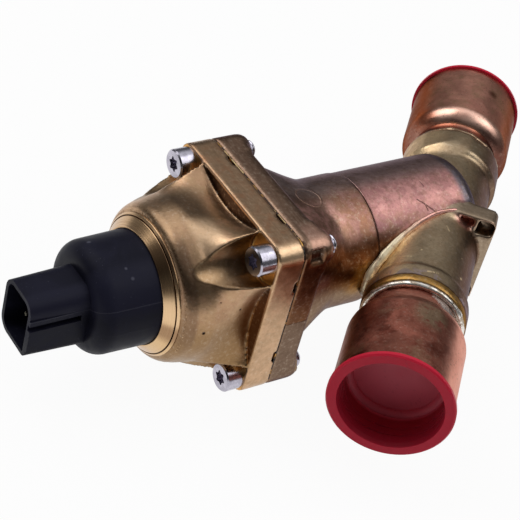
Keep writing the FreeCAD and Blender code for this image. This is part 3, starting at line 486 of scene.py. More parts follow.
# %% [markdown]
# Where the near branch leaves the stem, the mould has left a raised seam that the light catches. It
# could be sculpted into the casting, but its squares are too large for a seam this thin. So a small
# circle is spun about the port line into a ring, the ring is slid along that line until it lies
# where the two cylinders meet, and noise makes it swell and thin out. The solder beads need an
# uneven ring too, so the spinning and the finishing are helpers.

# %% Helpers for uneven rings about the port line
RING_STEPS = 144


def ring_about_port(place, ring_reach, thick_mm):
    """A thin ring spun about the port line, as a mesh that is still open for changes."""
    shape = bmesh.new()
    bmesh.ops.create_circle(shape, cap_ends=False, radius=thick_mm * MM, segments=10,
                            matrix=Matrix.Translation(place + at(ring_reach, 0, 0)))
    bmesh.ops.spin(shape, geom=shape.verts[:] + shape.edges[:], cent=place, axis=PORT, angle=2 * math.pi,
                   steps=RING_STEPS, use_merge=True)
    bmesh.ops.remove_doubles(shape, verts=shape.verts, dist=0.001 * MM)
    return shape


def finished_ring(name, shape):
    """An object made of a ring, with its faces outwards."""
    bmesh.ops.recalc_face_normals(shape, faces=shape.faces)
    piece = object_of(name, shape)
    piece.data.shade_smooth()
    print(name, "has", len(piece.data.polygons), "faces")
    return piece


print("rings about the port line are spun in", RING_STEPS, "steps")

# %% Seam where the near branch meets the stem
SEAM_THICK = 1.15
SEAM_RISE = 0.8


def seam_middle(outwards):
    """Where the seam's middle lies, in a direction square to the port line."""
    across = BRANCH_REACH * outwards.x
    height = BRANCH_REACH * outwards.z
    side = math.sqrt(STEM_REACH ** 2 - height ** 2)
    stem_outwards = (STEM_SIDE * side + UP * height).normalized()
    rise = SEAM_RISE * (1 + max(0.0, -outwards.x))
    back = rise * (1 - stem_outwards.dot(outwards)) / -stem_outwards.y
    meeting = Vector((across, PORTS_CROSS + across - side * math.sqrt(2), height))
    return (meeting + outwards * rise - PORT * back) * MM


seam_shape = ring_about_port(Vector(), BRANCH_REACH, SEAM_THICK)
for corner in seam_shape.verts:
    outwards = Vector((corner.co.x, 0, corner.co.z)).normalized()
    middle = seam_middle(outwards)
    lumps = 0.45 * noise.noise(middle * 260) + 0.2 * noise.noise(middle * 800)
    swell = 0.85 + lumps + 0.5 * max(0.0, -outwards.x)
    corner.co = middle + (corner.co - outwards * BRANCH_REACH * MM) * swell
seam = finished_ring("junction_seam", seam_shape)

# %% [markdown]
# The bonnet is a square flange that gathers to a round dome through a skirt, with a scoop cut over
# each screw. Its skirt could be drawn as one lofted patch, but the solid has the shape already. A
# foundry copy of it is eased on the skirt alone, so the scoops keep the clean edge of their cutter.

# %% Bonnet with its skirt eased
SCREW_SEAT = 97.3
DOME_TOP = 124.2
BONNET_TOP = 128.1
SCOOP_REACH = 8.9

bonnet = foundry_copy("bonnet", "bonnet_casting", 0.56, 1)


def on_skirt(along, side, height, point):
    """The outer surface between the bonnet's flange and its turned ring, away from the scoops."""
    from_screw = math.hypot(abs(side) - SCREW_PLACE, abs(height) - SCREW_PLACE)
    return (SCREW_SEAT + 0.5 < along < DOME_TOP - 1.5 and math.hypot(side, height) > 22
            and from_screw > SCOOP_REACH + 1.2)


ease(bonnet, on_skirt, 6)

# %% [markdown]
# The bonnet's end was turned on a lathe: a slope that falls away from the motor, a fine groove and
# a narrow rim. Small squares can't hold a groove under a millimetre wide, so this ring is a turned
# piece of its own, spun from its section, and the casting's end is drawn back beneath it.

# %% Turned ring at the bonnet's end


def spun(name, section, place, axis, start_direction, steps):
    """A ring spun about an axis from a closed section of (reach, along) corners in millimetres."""
    shape = bmesh.new()
    corners = [shape.verts.new(place + (start_direction * reach + axis * along) * MM)
               for reach, along in section]
    loop = [shape.edges.new((corners[index - 1], corners[index])) for index in range(len(corners))]
    bmesh.ops.spin(shape, geom=corners + loop, cent=place, axis=axis, angle=2 * math.pi, steps=steps,
                   use_merge=True)
    bmesh.ops.remove_doubles(shape, verts=shape.verts, dist=0.001 * MM)
    bmesh.ops.recalc_face_normals(shape, faces=shape.faces)
    piece = object_of(name, shape)
    piece.data.shade_smooth()
    bevel = piece.modifiers.new("fine_edges", "BEVEL")
    bevel.width = 0.12 * MM
    bevel.segments = 2
    bevel.limit_method = "ANGLE"
    bevel.angle_limit = math.radians(30)
    bevel.harden_normals = True
    return piece


RING_REACH = 24.0
RING_FOOT = DOME_TOP - 0.8
COVER_REACH = 19.25
turned_ring = spun("turned_ring", [
    (COVER_REACH + 0.15, RING_FOOT), (RING_REACH, RING_FOOT), (RING_REACH, DOME_TOP + 0.3),
    (RING_REACH - 0.75, DOME_TOP + 0.95), (RING_REACH - 0.85, DOME_TOP + 0.3),
    (RING_REACH - 1.15, DOME_TOP + 0.3), (RING_REACH - 1.2, DOME_TOP + 1.2),
    (COVER_REACH + 0.6, BONNET_TOP), (COVER_REACH + 0.15, BONNET_TOP),
], CROSSING, STEM, STEM_SIDE, 128)
print("turned ring has", len(turned_ring.data.polygons), "faces before its bevel")

# %% End of the casting drawn back beneath the ring
shape = bmesh.new()
shape.from_mesh(bonnet.data)
drawn_back = 0
for corner in shape.verts:
    along = stem_place(corner.co)[0]
    over = along - (DOME_TOP - 0.2)
    outwards = corner.co - (CROSSING + STEM * along * MM)
    if over > 0 and outwards.length > (COVER_REACH - 1) * MM:
        reach = outwards.length / MM
        wanted = min(max(reach, COVER_REACH + 0.4), RING_REACH - 0.5)
        corner.co += outwards.normalized() * (wanted - reach) * MM - STEM * over * 0.97 * MM
        drawn_back += 1
shape.to_mesh(bonnet.data)
shape.free()
print("drew", drawn_back, "points back beneath the ring")

# %% [markdown]
# Both castings have the same skin: slow waves, a fine grain, milled lines on the sides of their
# flanges, and painted highlights along the joint's upper edge. The grain could be real geometry, but
# it would take millions of faces, so it is left to bumps, and helpers share it between the two.

# %% Skin and marks that both castings share
JOINT = 87.2


def on_stem(along, side=0.0, height=0.0):
    """A point given in millimetres along the stem's axis, to its side and above it."""
    return CROSSING + (STEM * along + STEM_SIDE * side + UP * height) * MM


def cast_surface(finish, marks):
    """Bumps of a cast surface: slow waves, a fine grain, and marks sunk in it."""
    waves = finish.bump(finish.noise(6.0), 0.4, 0.3)
    grain = finish.bump(finish.noise(0.8, 3.0, 0.65), 0.5, 0.09, waves)
    return finish.bump(marks, 1.0, 0.25, grain)


def joint_highlights(finish):
    """Painted highlights where the joint's upper edge catches the light."""
    edge = FLANGE_REACH - 0.2
    highlight_strokes = finish.most(*(
        finish.stroke(on_stem(JOINT, start, edge), on_stem(JOINT, end, edge), thick, 0.3)
        for start, end, thick in ((-21.0, -9.0, 0.2), (10.8, 17.5, 0.15), (21.0, 25.3, 0.1))))
    return highlight_strokes * finish.noise(4.0, 3.0, 0.6).step(0.36, 0.46)


def side_marks(finish):
    """Fine lines that milling leaves on a flange's sides, along the joint."""
    lines = finish.stretched((finish.stem, 0.35), (finish.side, 9.0), (finish.height, 9.0))
    return finish.noise(1.0, 3.0, 0.6, place=lines)


def right_side(finish):
    """One on the flanges' right side."""
    return finish.side.step(FLANGE_REACH - 1.5, FLANGE_REACH - 0.4)


def stains(finish, clouds):
    """Small dark stains that gather in clouds."""
    return finish.noise(0.9, 3.0, 0.6).step(0.60, 0.68) * clouds.step(0.4, 0.6)


print("the joint lies", JOINT, "mm along the stem")

# %% [markdown]
# The body is bronze, and the brazing flame has tinted it: brown on the neck, pink on the side of
# the stem, bluish at its end, olive on the two branches, with lacquer left on the near collar. Over
# the tints lie painted shade, painted reflections and painted highlights.
# Vertex colours could paint the zones, but measures along the stem and round the axes place them
# exactly, so each zone is one row of a mask, its share and its colour.

# %% Colours of the stem


def stem_colours(finish, patches, blotches):
    """Brown neck with painted shade on its top, pink upper side, bluish end, painted shade on the lower
    side, and painted reflections along the top and the bottom.
    """
    along, side_of, mix = finish.stem, finish.facing, finish.mix
    # The neck's top, facing upwards, gets painted shade.
    neck = mix(side_of(108, 0.78, 0.97) * 0.9, mix(patches, tint(178, 138, 118), tint(214, 162, 148)),
               tint(120, 98, 84))
    copper = mix(patches, tint(150, 108, 86), tint(166, 122, 110))
    pink = mix(patches, tint(204, 148, 142), tint(182, 130, 126))
    plum = mix(patches, tint(146, 106, 96), tint(160, 114, 112))
    before_band = along.step(STEM_BAND_START + 0.2, STEM_BAND_START - 0.2)
    mottles = finish.noise(2.4, 4.0, 0.72).step(0.48, 0.64)
    streak = finish.stroke(on_stem(3.4, 9.0, 20.4), on_stem(2.0, 16.4, 16.4), 0.1, 0.6)
    gold = finish.spot(at(-19.6, 28.0, 1.5), 2.0, 7.0) * blotches.step(0.3, 0.6)
    return finish.layers(
        mix(along.step(64.0, 50.0), neck, copper),
        (before_band * side_of(66, 0.55, 0.9), 1, mix(side_of(84, 0.80, 0.99), plum, pink)),
        # Painted reflection: a greyish band along the top of the stem.
        (side_of(112, 0.86, 0.99), 0.75, tint(158, 140, 136)),
        # Painted shade on the stem's lower front side.
        (side_of(12, 0.80, 0.95), 1, mix(patches, tint(100, 62, 40), tint(120, 78, 52))),
        # Painted reflection of the floor: an olive strip along the bottom of the stem.
        (side_of(-32, 0.70, 0.95), 1, tint(158, 134, 108)),
        (along.step(6.5, 3.5) * side_of(75, 0.2, 0.6), 1, tint(122, 112, 118)),
        (mottles, 0.4, tint(136, 106, 84)),
        (streak, 0.35, tint(180, 170, 182)),
        (gold, 0.8, tint(206, 158, 84)))


print("the pink ends at the band,", STEM_BAND_START, "mm along the stem")

# %% Colours of the branches
INLET_COLLAR_FACE = PORTS_CROSS - 64.5
OUTLET_COLLAR_FACE = PORTS_CROSS + 29.7
COLLAR_REACH = 18.2
LACQUER_END = INLET_COLLAR_FACE + 4.2


def branch_colours(finish, shares, patches):
    """Olive branches with a painted highlight on the left and painted shade on the right, and lacquer on
    the near collar.
    """
    grey = (finish.port.step(INLET_COLLAR_FACE + 8.0, INLET_COLLAR_FACE + 4.5)
            * finish.noise(6.0, 4.0, 0.6, 1.0).step(0.46, 0.54))
    ragged_port = finish.port + finish.noise(3.0, 3.0, 0.6) * 1.6
    on_collar = finish.port_reach.step(COLLAR_REACH - 1.1, COLLAR_REACH - 0.7)
    lacquer = ragged_port.step(LACQUER_END, LACQUER_END - 0.3) * on_collar
    dark_line = ragged_port.band(LACQUER_END, 0.1, 0.5) * on_collar
    return finish.layers(
        finish.mix(shares, tint(166, 146, 118), tint(186, 164, 134)),
        # Painted highlight: the branches are lighter towards the left.
        (finish.across.step(-4.0, -11.0), 1, tint(250, 218, 172)),
        # Painted shade: the branches are darker towards the right.
        (finish.across.step(6.0, 13.0), 1, tint(134, 110, 92)),
        (patches, 0.35, tint(150, 120, 92)),
        (grey, 0.75, tint(186, 168, 168)),
        (lacquer, 1, finish.mix(shares, tint(146, 106, 54), tint(172, 132, 74))),
        (dark_line, 0.8, tint(84, 54, 30)))


print("collar faces at", INLET_COLLAR_FACE, "and", OUTLET_COLLAR_FACE, "mm along the port line")

# %% Colours of the body's flange, and all its zones together
STEM_ROUND = 6.0
STEM_END = -2.4
PARTING_HEIGHT = -1.3


def flange_colours(finish, milled, patches):
    """Milled sides, browner on the right above the parting line."""
    right = right_side(finish)
    return finish.layers(
        finish.mix(milled.step(0.3, 0.7), tint(126, 100, 82), tint(144, 118, 100)),
        (right * finish.height.step(PARTING_HEIGHT - 0.2, PARTING_HEIGHT + 0.2), 1,
         finish.mix(patches, tint(118, 84, 60), tint(134, 96, 68))),
        (right * finish.height.step(PARTING_HEIGHT + 0.2, PARTING_HEIGHT - 0.2), 1, tint(130, 108, 90)))


def bronze_zones(finish, clouds, blotches, rounded, milled, flange):
    """Colours that the flame gave the stem, the branches and the flange, with painted light and shade
    laid over them.
    """
    shares = clouds.step(0.35, 0.65)
    patches = blotches.step(0.38, 0.62)
    outside = rounded.step(STEM_ROUND + 0.5, STEM_ROUND + 0.9) * finish.stem.step(58.0, 56.0)
    lug = finish.port.band(63.7, 4.2, 0.3) * finish.port_reach.step(16.9, 17.5)
    # Painted light that brightens the hollow beside the lug.
    hollow_light = finish.spot(at(7.5, 61.0, 14.5), 3.0, 2.5) * finish.height.step(17.8, 17.2)
    parting = (finish.height.band(PARTING_HEIGHT, 0.05, 0.3)
               * (right_side(finish) * finish.stem.step(76.0, 77.0)))
    return finish.layers(
        stem_colours(finish, patches, blotches),
        (outside, 1, branch_colours(finish, shares, patches)),
        (lug * finish.reach.step(22.9, 23.3), 1, tint(162, 142, 120)),
        (hollow_light, 0.8, tint(232, 176, 160)),
        (flange, 1, flange_colours(finish, milled, patches)),
        (parting, 0.7, tint(70, 46, 30)))


print("the flange starts", FLANGE_BACK, "mm along the stem")

# %% [markdown]
# Over the zones lie small things: bare metal where an edge was knocked, nicks, a thin groove round
# the stem with painted shade in it, and the faint ring that a moulding pin left. They could be stamped
# from pictures, but a round spot, a stroke or a band about a measured place makes each of them just as
# well.

# %% Small marks of the bronze casting


def around_stem(along, reach, degrees):
    """A point at a distance from the stem's axis, turned from the side upwards."""
    turn = math.radians(degrees)
    return on_stem(along, reach * math.cos(turn), reach * math.sin(turn))


def bronze_chips(finish):
    """Bare metal where edges of the branches were knocked."""
    bright_bits = finish.most(
        finish.stroke(at(-10.2, 31.5, 13.1), at(-6.8, 31.0, 15.1), 0.15, 0.4),
        finish.stroke(at(-0.3, 22.0, 18.2), at(3.0, 23.0, 17.9), 0.15, 0.4),
        finish.stroke(at(2.4, 51.9, 16.4), at(3.6, 49.9, 16.2), 0.05, 0.4),
        finish.spot(at(11.6, 31.8, 11.9), 0.3, 0.5),
        finish.spot(at(10.2, 41.4, 13.1), 0.2, 0.4),
        finish.spot(at(-4.0, 35.0, 16.2), 0.1, 0.5))
    return bright_bits * finish.noise(0.8, 3.0, 0.7).step(0.42, 0.52)


def stem_nicks(finish):
    """Thin nicks on the pink side of the stem."""
    strokes = ((19.1, 81, 18.8, 75, 0.25), (24.2, 64, 21.7, 58, 0.28),
               (21.7, 58, 18.6, 50, 0.28), (21.7, 58, 21.4, 52, 0.25))
    return finish.most(*(
        finish.stroke(around_stem(start, STEM_REACH, low), around_stem(end, STEM_REACH, high), 0.03, soft)
        for start, low, end, high, soft in strokes))


def moulding_ring_mask(finish):
    """The faint ring that a moulding pin left on the neck."""
    from_pin = finish.distance(finish.stem - 65.3, finish.side - 1.1)
    return from_pin.band(4.6, 0.12, 0.35) * finish.height.step(0.0, 4.0)


print("the nicks lie", STEM_REACH, "mm from the stem's axis")

# %% Cast bronze of the body


def cast_bronze():
    finish = Finish("cast_bronze")
    finish.measure_stem()
    finish.measure_ports()
    along, side, height = finish.stem, finish.side, finish.height
    clouds = finish.noise(14.0, 3.0, 0.55, 0.6)
    blotches = finish.noise(4.5, 4.0, 0.62, 0.4)
    milled = side_marks(finish)
    flange = along.step(FLANGE_BACK - 0.8, FLANGE_BACK - 0.2)
    rounded = finish.distance(
        finish.most(finish.reach - (STEM_REACH - STEM_ROUND), 0.0),
        finish.most(finish.sums("SUBTRACT", STEM_END + STEM_ROUND, along), 0.0))
    # Painted shade in the pressed pockets beside the corner bosses.
    pocket_shade = (along.band(POCKET_ALONG, 2.0, 0.7)
              * (height.band(POCKET_HEIGHT, 2.1, 0.7) * side.step(27.5, 28.5)))
    # Painted highlight on the top of the flange by the right corner boss.
    boss_highlight = along.band(80.5, 3.2, 1.0) * (height.band(31.0, 1.2, 0.8) * side.step(18.0, 24.0))
    # A groove at the band, with painted shade in it.
    band_groove_shade = along.band(STEM_BAND_START, 0.1, 0.35) * finish.reach.step(23.4, 23.0)
    # Painted shade on the stem's rounded end.
    end_shade = along.step(1.0, -1.5) * rounded.step(STEM_ROUND + 0.9, STEM_ROUND + 0.5)
    nicks = stem_nicks(finish)
    moulding_ring = moulding_ring_mask(finish)
    colour = finish.layers(
        bronze_zones(finish, clouds, blotches, rounded, milled, flange),
        # Painted highlight where the surface bends outwards.
        (finish.edges(0.53, 0.60), 0.45, tint(226, 176, 150)),
        # Painted shade where the surface bends inwards.
        (finish.edges(0.47, 0.40), 0.7, tint(62, 44, 32)),
        (stains(finish, clouds), 0.4, tint(88, 66, 48)),
        (pocket_shade, 0.85, tint(66, 46, 34)),
        (boss_highlight, 0.6, tint(206, 160, 140)),
        (bronze_chips(finish), 1, tint(248, 222, 176)),
        (band_groove_shade, 0.75, tint(66, 44, 34)),
        (nicks, 0.35, tint(104, 70, 60)),
        (moulding_ring, 0.3, tint(206, 164, 140)),
        (joint_highlights(finish), 1, tint(250, 220, 166)),
        (end_shade, 1, tint(84, 70, 72)))
    marks = moulding_ring * 0.4 - finish.most(band_groove_shade, nicks * 0.4)
    return finish.shade(
        base_color=finish.speckled(colour, 1.3, 0.17),
        metallic=1.0,
        roughness=blotches.step(0.2, 0.8, 0.30, 0.42),
        specular_tint=(0.42, 0.40, 0.46),
        normal=finish.bump(milled * flange, 0.3, 0.05, cast_surface(finish, marks)))


finished(casting, cast_bronze(), "housing")
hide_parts("valve_body")

# %% [markdown]
# The seam stands proud, and its colour is painted light: a pink highlight by the stem, a nearly
# white highlight on the left and painted shade below. It could share the casting's finish, but its
# brightness is what draws the branch's outline in the photograph, so it has a short finish of its own.

# %% Bronze of the seam, with painted light


def seam_painted_light():
    finish = Finish("seam_painted_light")
    finish.measure_stem()
    return finish.shade(
        # Painted light: a pink highlight by the stem, a nearly white highlight on the left, and painted
        # shade below.
        base_color=finish.layers(
            tint(228, 170, 158),
            (finish.stem.step(22.0, 42.0), 1, tint(252, 236, 200)),
            (finish.noise(3.0, 4.0, 0.65).step(0.5, 0.62), 0.6, tint(176, 134, 106)),
            (finish.height.step(1.0, -4.0), 1, tint(112, 86, 60))),
        metallic=finish.stem.step(18.0, 40.0, 0.85, 0.4),
        roughness=0.34,
        normal=finish.bump(finish.noise(0.8, 3.0, 0.6), 0.4, 0.07))


finished(seam, seam_painted_light(), "housing")

# %% [markdown]
# The bonnet is yellower than the body, since it never saw the flame. Its scoops and screw seats are
# cut metal and shine like gold, and painted light brightens the scoops further, while painted shade
# darkens the face at the foot of its skirt. A plain brass with painted shade in its corners would come
# near, but the bright scoops are what the eye finds first, so they get masks of their own, by their
# distance from each screw's axis.

# %% Masks of the bonnet by distance from its screws


def bonnet_masks(finish):
    """The flange's face for painted shade, the screw seats, the scoops for painted light and the scoops'
    edges for painted shade.
    """
    along, side, height = finish.stem, finish.side, finish.height
    widest = finish.most(abs(side), abs(height))
    from_screw = finish.distance(abs(side) - SCREW_PLACE, abs(height) - SCREW_PLACE)
    face = along.band(SCREW_SEAT, 0.35, 0.3) * widest.step(30.7, 30.3)
    seat = face * from_screw.step(SCOOP_REACH + 0.3, SCOOP_REACH - 0.3)
    scoop_run = along.step(SCREW_SEAT + 0.6, SCREW_SEAT + 1.4) * along.step(121.5, 119.5)
    in_scoop = from_screw.step(SCOOP_REACH + 0.3, SCOOP_REACH + 0.1) * scoop_run
    edge_run = along.step(SCREW_SEAT + 1.0, SCREW_SEAT + 2.0) * along.step(122.5, 121.5)
    scoop_edge_shade = from_screw.band(SCOOP_REACH + 0.1, 0.08, 0.35) * edge_run
    return face, seat, in_scoop, scoop_edge_shade


def brass_zones(finish, clouds, blotches, milled, flange):
    """The cast skirt, with painted shade low down and on its top and a painted highlight between, and the
    milled sides of the flange.
    """
    cast = finish.layers(
        finish.mix(clouds.step(0.35, 0.65), tint(182, 148, 114), tint(198, 162, 126)),
        (blotches.step(0.4, 0.7), 0.6, tint(192, 150, 120)),
        # Painted shade: darker towards the bottom.
        (finish.height.step(12.0, -4.0), 1, tint(152, 120, 84)),
        # Painted shade on the top of the skirt.
        (finish.facing(96, 0.92, 0.995) * finish.stem.step(103.0, 108.0), 0.85, tint(130, 106, 82)),
        # Painted highlight on the skirt's upper side.
        (finish.facing(68, 0.95, 0.995) * finish.stem.band(111.5, 3.0, 3.0), 0.8, tint(232, 196, 158)))
    rim = finish.layers(
        finish.mix(milled.step(0.3, 0.7), tint(160, 130, 102), tint(178, 146, 116)),
        (blotches.step(0.45, 0.7), 1, tint(166, 126, 96)),
        (right_side(finish), 1,
         finish.mix(blotches.step(0.35, 0.65), tint(184, 150, 116), tint(206, 168, 132))))
    return finish.mix(flange, cast, rim)


print("the screws are seated", SCREW_SEAT, "mm along the stem")

# %% Cast brass of the bonnet


def cast_brass():
    finish = Finish("cast_brass")
    finish.measure_stem()
    along, side, height = finish.stem, finish.side, finish.height
    clouds = finish.noise(14.0, 3.0, 0.55, 0.5)
    blotches = finish.noise(4.0, 4.0, 0.6)
    milled = side_marks(finish)
    flange = along.step(SCREW_SEAT + 0.2, SCREW_SEAT - 0.3)
    face, seat, in_scoop, scoop_edge_shade = bonnet_masks(finish)
    painted_shoulder = along.band(121.8, 1.5, 1.6) * finish.facing(30, 0.6, 0.9)
    colour = finish.layers(
        brass_zones(finish, clouds, blotches, milled, flange),
        # Painted shade on the face at the skirt's foot, darkest towards the top.
        (face, 1, finish.mix(height.step(6.0, 20.0), tint(104, 66, 34), tint(58, 38, 24))),
        (seat, 1, tint(214, 160, 88)),
        # Cut metal in the scoops, brightened further with painted light.
        (in_scoop, 0.9, tint(240, 202, 156)),
        # Painted highlight on the flange's upper right corner.
        ((side + height).step(57.5, 60.0), 0.8, tint(240, 204, 164)),
        # Painted shade along the scoops' edges.
        (scoop_edge_shade, 0.65, tint(86, 60, 38)),
        # Painted highlight where the surface bends outwards.
        (finish.edges(0.54, 0.62), 0.45, tint(240, 206, 168)),
        # Painted shade where the surface bends inwards.
        (finish.edges(0.45, 0.37), 0.5, tint(84, 58, 36)),
        # Painted shade on the dome's shoulder by the ring.
        (painted_shoulder, 0.6, tint(118, 92, 74)),
        (joint_highlights(finish), 1, tint(252, 224, 172)))
    burr = along.band(DOME_TOP - 1.0, 0.1, 0.3)
    dashes = finish.noise(0.55, 2.0, 0.6)
    pits = finish.most(*(finish.spot(around_stem(*place), radius, 0.4) for place, radius in (
        ((117.1, 27.9, 2), 0.3), ((112.2, 28.6, 24), 0.2), ((104.0, 28.0, 14), 0.2))))
    colour = finish.layers(
        finish.speckled(colour, 1.3, 0.14),
        (burr * dashes.step(0.50, 0.62, 0.0, 0.6), 1, tint(104, 76, 50)),
        (burr * dashes.step(0.40, 0.30, 0.0, 0.6), 1, tint(224, 190, 148)),
        (stains(finish, clouds), 0.35, tint(128, 98, 68)),
        (pits, 1, tint(40, 26, 18)))
    return finish.shade(
        base_color=colour,
        metallic=1.0,
        roughness=blotches.step(0.2, 0.8, 0.28, 0.38),
        normal=finish.bump(milled * flange, 0.3, 0.05, cast_surface(finish, pits * -1.0)))


finished(bonnet, cast_brass(), "housing")
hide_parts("bonnet")

# %% [markdown]
# A turned face shows fine rings, and its light gathers in spokes. Anisotropic shading could make
# spokes, but they would follow the lamps, and in the photograph each spoke has its own colour from
# the things round the valve. So four soft spokes are painted, over rings that are a bump.

# %% Turned brass of the ring


def turned_brass_ring():
    finish = Finish("turned_brass_ring")
    finish.measure_stem()
    lines = finish.noise(1.0, 2.0, 0.6, place=finish.stretched(
        (finish.reach, 0.3), (finish.stem, 0.3), (finish.side, 60.0)))
    spokes = [(finish.facing(degrees, low, 0.995), 0.75, colour) for degrees, low, colour in (
        (64, 0.94, tint(128, 98, 72)), (18, 0.95, tint(238, 202, 158)),
        (-8, 0.97, tint(150, 116, 86)), (-30, 0.93, tint(224, 188, 140)))]
    return finish.shade(
        base_color=finish.layers(
            finish.mix(lines.step(0.35, 0.65), tint(196, 160, 120), tint(214, 178, 138)),
            *spokes,
            # Painted shade in the fine groove.
            (finish.reach.band(RING_REACH - 1.0, 0.12, 0.12), 0.85, tint(54, 38, 28))),
        metallic=1.0,
        roughness=0.26,
        normal=finish.bump(lines, 0.35, 0.02))


finished(turned_ring, turned_brass_ring(), "housing")

# %% [markdown]
# The stubs are copper tube. The near one has been in the flame and is dull and red, and the far one
# is brighter, with a stronger painted highlight on the top of its shoulder. One tree makes both, with
# its colours and gloss as arguments, and it counts millimetres from the collar so that the flame's
# colours fade along the tube.

# %% Copper with blooms and marks


def copper(name, collar_face, towards, base, blooms, shoulder_highlight, edge_colour, gloss, marks):
    """Flamed copper tube: a base, blooms of (colour, low, high, share), a painted highlight on the top of
    the shoulder, and rows of marks.
    """
    finish = Finish(name)
    finish.measure_ports()
    run = finish.along(PORT * towards, at(0, collar_face, 0))
    clouds = finish.noise(9.0, 4.0, 0.6, 0.3)
    drawn = finish.noise(1.0, 3.0, 0.6, place=finish.stretched(
        (run, 16.0), (finish.across, 3.0), (finish.height, 3.0)))
    flecks = finish.noise(0.9, 3.0, 0.65)
    bloom_rows = [(finish.noise(7.0 + 3.0 * number, 5.0, 0.66, 0.2).step(low, high), share, bloom)
                  for number, (bloom, low, high, share) in enumerate(blooms)]
    painted_shoulder = run.band(8.0, 3.0, 2.5) * finish.height.step(-6.0, 6.0)
    colour = finish.layers(
        base,
        *bloom_rows,
        (drawn.step(0.5, 0.72), 0.3, base),
        # Painted highlight on the top of the shoulder.
        (painted_shoulder * clouds.step(0.3, 0.5, 0.45, 1.0), 1, shoulder_highlight),
        *marks(finish, run),
        (flecks.step(0.58, 0.66) * clouds.step(0.42, 0.58), 0.45, tint(82, 44, 34)))
    return finish.shade(
        base_color=finish.speckled(colour, 1.1, 0.12),
        metallic=1.0,
        specular_tint=edge_colour,
        roughness=clouds.step(0.3, 0.7, *gloss),
        normal=finish.bump(flecks, 0.35, 0.05, finish.bump(finish.noise(6.0, 2.0), 0.45, 0.35)))


print("the collars' faces are", OUTLET_COLLAR_FACE - INLET_COLLAR_FACE, "mm apart")

# %% [markdown]
# Each stub has marks of its own: the near one a run of white flux and a greenish cloud, the far one
# painted shade at its neck and a burnt spot. Chance noise would put them anywhere, and they are what
# makes one valve look like that valve, so each is a mask at its measured place.

# %% Marks of the two stubs, and their copper


def near_marks(finish, run):
    """A greenish cloud, a rubbed line, the neck's lighter line, a painted highlight on the right side and
    white flux.
    """
    cloud = finish.spot(at(4.5, -1.0, 19.6), 2.5, 6.0) * finish.noise(3.5, 4.0, 0.6, 0.8).step(0.36, 0.52)
    rubbed_line = finish.stroke(at(4.0, 3.0, 18.2), at(12.6, -1.5, 15.4), 0.1, 0.7)
    side_highlight = finish.across.step(9.5, 16.5) * run.step(7.0, 11.0)
    flux_end = finish.across.step(-2.0, 12.0, 2.0, 7.5)
    ragged_run = run + finish.noise(2.4, 4.0, 0.68, 0.6) * 5.0
    flux = ragged_run.step(flux_end + 1.4, flux_end) * run.step(-1.5, -0.5)
    return [
        (cloud, 0.8, tint(150, 130, 104)),
        (rubbed_line, 0.5, tint(190, 140, 124)),
        (run.band(7.2, 0.1, 0.8), 0.5, tint(186, 122, 106)),
        # Painted highlight on the right side of the tube.
        (side_highlight, 0.85, tint(240, 172, 152)),
        (flux, 0.85, tint(226, 216, 208))]


def far_marks(finish, run):
    """Painted shade on both sides, an orange stain, painted shade on the neck that is widest at its
    right, and a burnt spot.
    """
    across = finish.across
    neck_shade = run.step(across.step(2.0, 12.0, 6.5, 12.0), across.step(2.0, 12.0, 4.5, 7.0))
    return [
        # Painted shade on both sides of the tube.
        (abs(across).step(11.0, 17.5), 0.85, tint(120, 66, 50)),
        (finish.spot(at(-14.5, 119.0, 11.5), 2.0, 5.5), 0.8, tint(176, 96, 64)),
        # Painted shade at the neck.
        (neck_shade, 0.9, tint(110, 68, 58)),
        (finish.spot(at(7.5, 139.7, 18.6), 0.6, 2.4), 0.7, tint(96, 56, 44))]


near_copper = copper(
    "flamed_copper", INLET_COLLAR_FACE, -1, tint(156, 96, 80),
    [(tint(122, 62, 50), 0.44, 0.64, 0.85), (tint(188, 116, 98), 0.50, 0.68, 0.8),
     (tint(166, 132, 106), 0.54, 0.70, 0.6)],
    tint(174, 116, 98), (0.9, 0.75, 0.7), (0.30, 0.44), near_marks)
far_copper = copper(
    "bright_copper", OUTLET_COLLAR_FACE, 1, tint(232, 168, 146),
    [(tint(206, 160, 130), 0.44, 0.62, 0.7), (tint(232, 160, 142), 0.5, 0.66, 0.6),
     (tint(186, 124, 98), 0.54, 0.70, 0.6)],
    tint(255, 206, 184), (0.5, 0.36, 0.32), (0.27, 0.38), far_marks)
dress(near_copper, "inlet_stub")
dress(far_copper, "outlet_stub")

# %% [markdown]
# Where each stub enters its collar, silver solder has run round it and set as an uneven bead. The
# solid there is an even fillet, which a bump could roughen, but its outline would stay a perfect
# circle. So a thin ring is spun, and smooth noise swells and pinches it.

# %% Beads of silver solder
BEAD_REACH = 16.7
BEAD_THICK = 1.1


def solder_bead(name, face, towards):
    """An uneven bead about the port line, at a collar's face."""
    place = at(0, face + 0.35 * towards, 0)
    shape = ring_about_port(place, BEAD_REACH, BEAD_THICK)
    for corner in shape.verts:
        middle = place + Vector((corner.co.x, 0, corner.co.z)).normalized() * BEAD_REACH * MM
        swell = 1 + 0.4 * noise.noise(middle * 220) + 0.15 * noise.noise(corner.co * 1400)
        corner.co = middle + (corner.co - middle) * swell
    return finished_ring(name, shape)


print("the beads swell and pinch round", BEAD_THICK, "mm")

# %% [markdown]
# The near bead is fresh and silvery, and the far one is dull and brown. Bare solder could be one
# even metal, but it freezes in patches of bright and matt, so noise drives its colour and its gloss.

# %% Silver solder on the beads


def silver_solder(name, light, dull, dirt):
    finish = Finish(name)
    patches = finish.noise(2.6, 4.0, 0.65, 0.6)
    dark = finish.noise(1.3, 3.0, 0.6).step(0.58, 0.66)
    return finish.shade(
        base_color=finish.layers(light, (patches.step(0.46, 0.58), 1, dull), (dark, 0.7, dirt)),
        metallic=1.0,
        roughness=patches.step(0.3, 0.7, 0.24, 0.46),
        normal=finish.bump(patches, 0.4, 0.1))


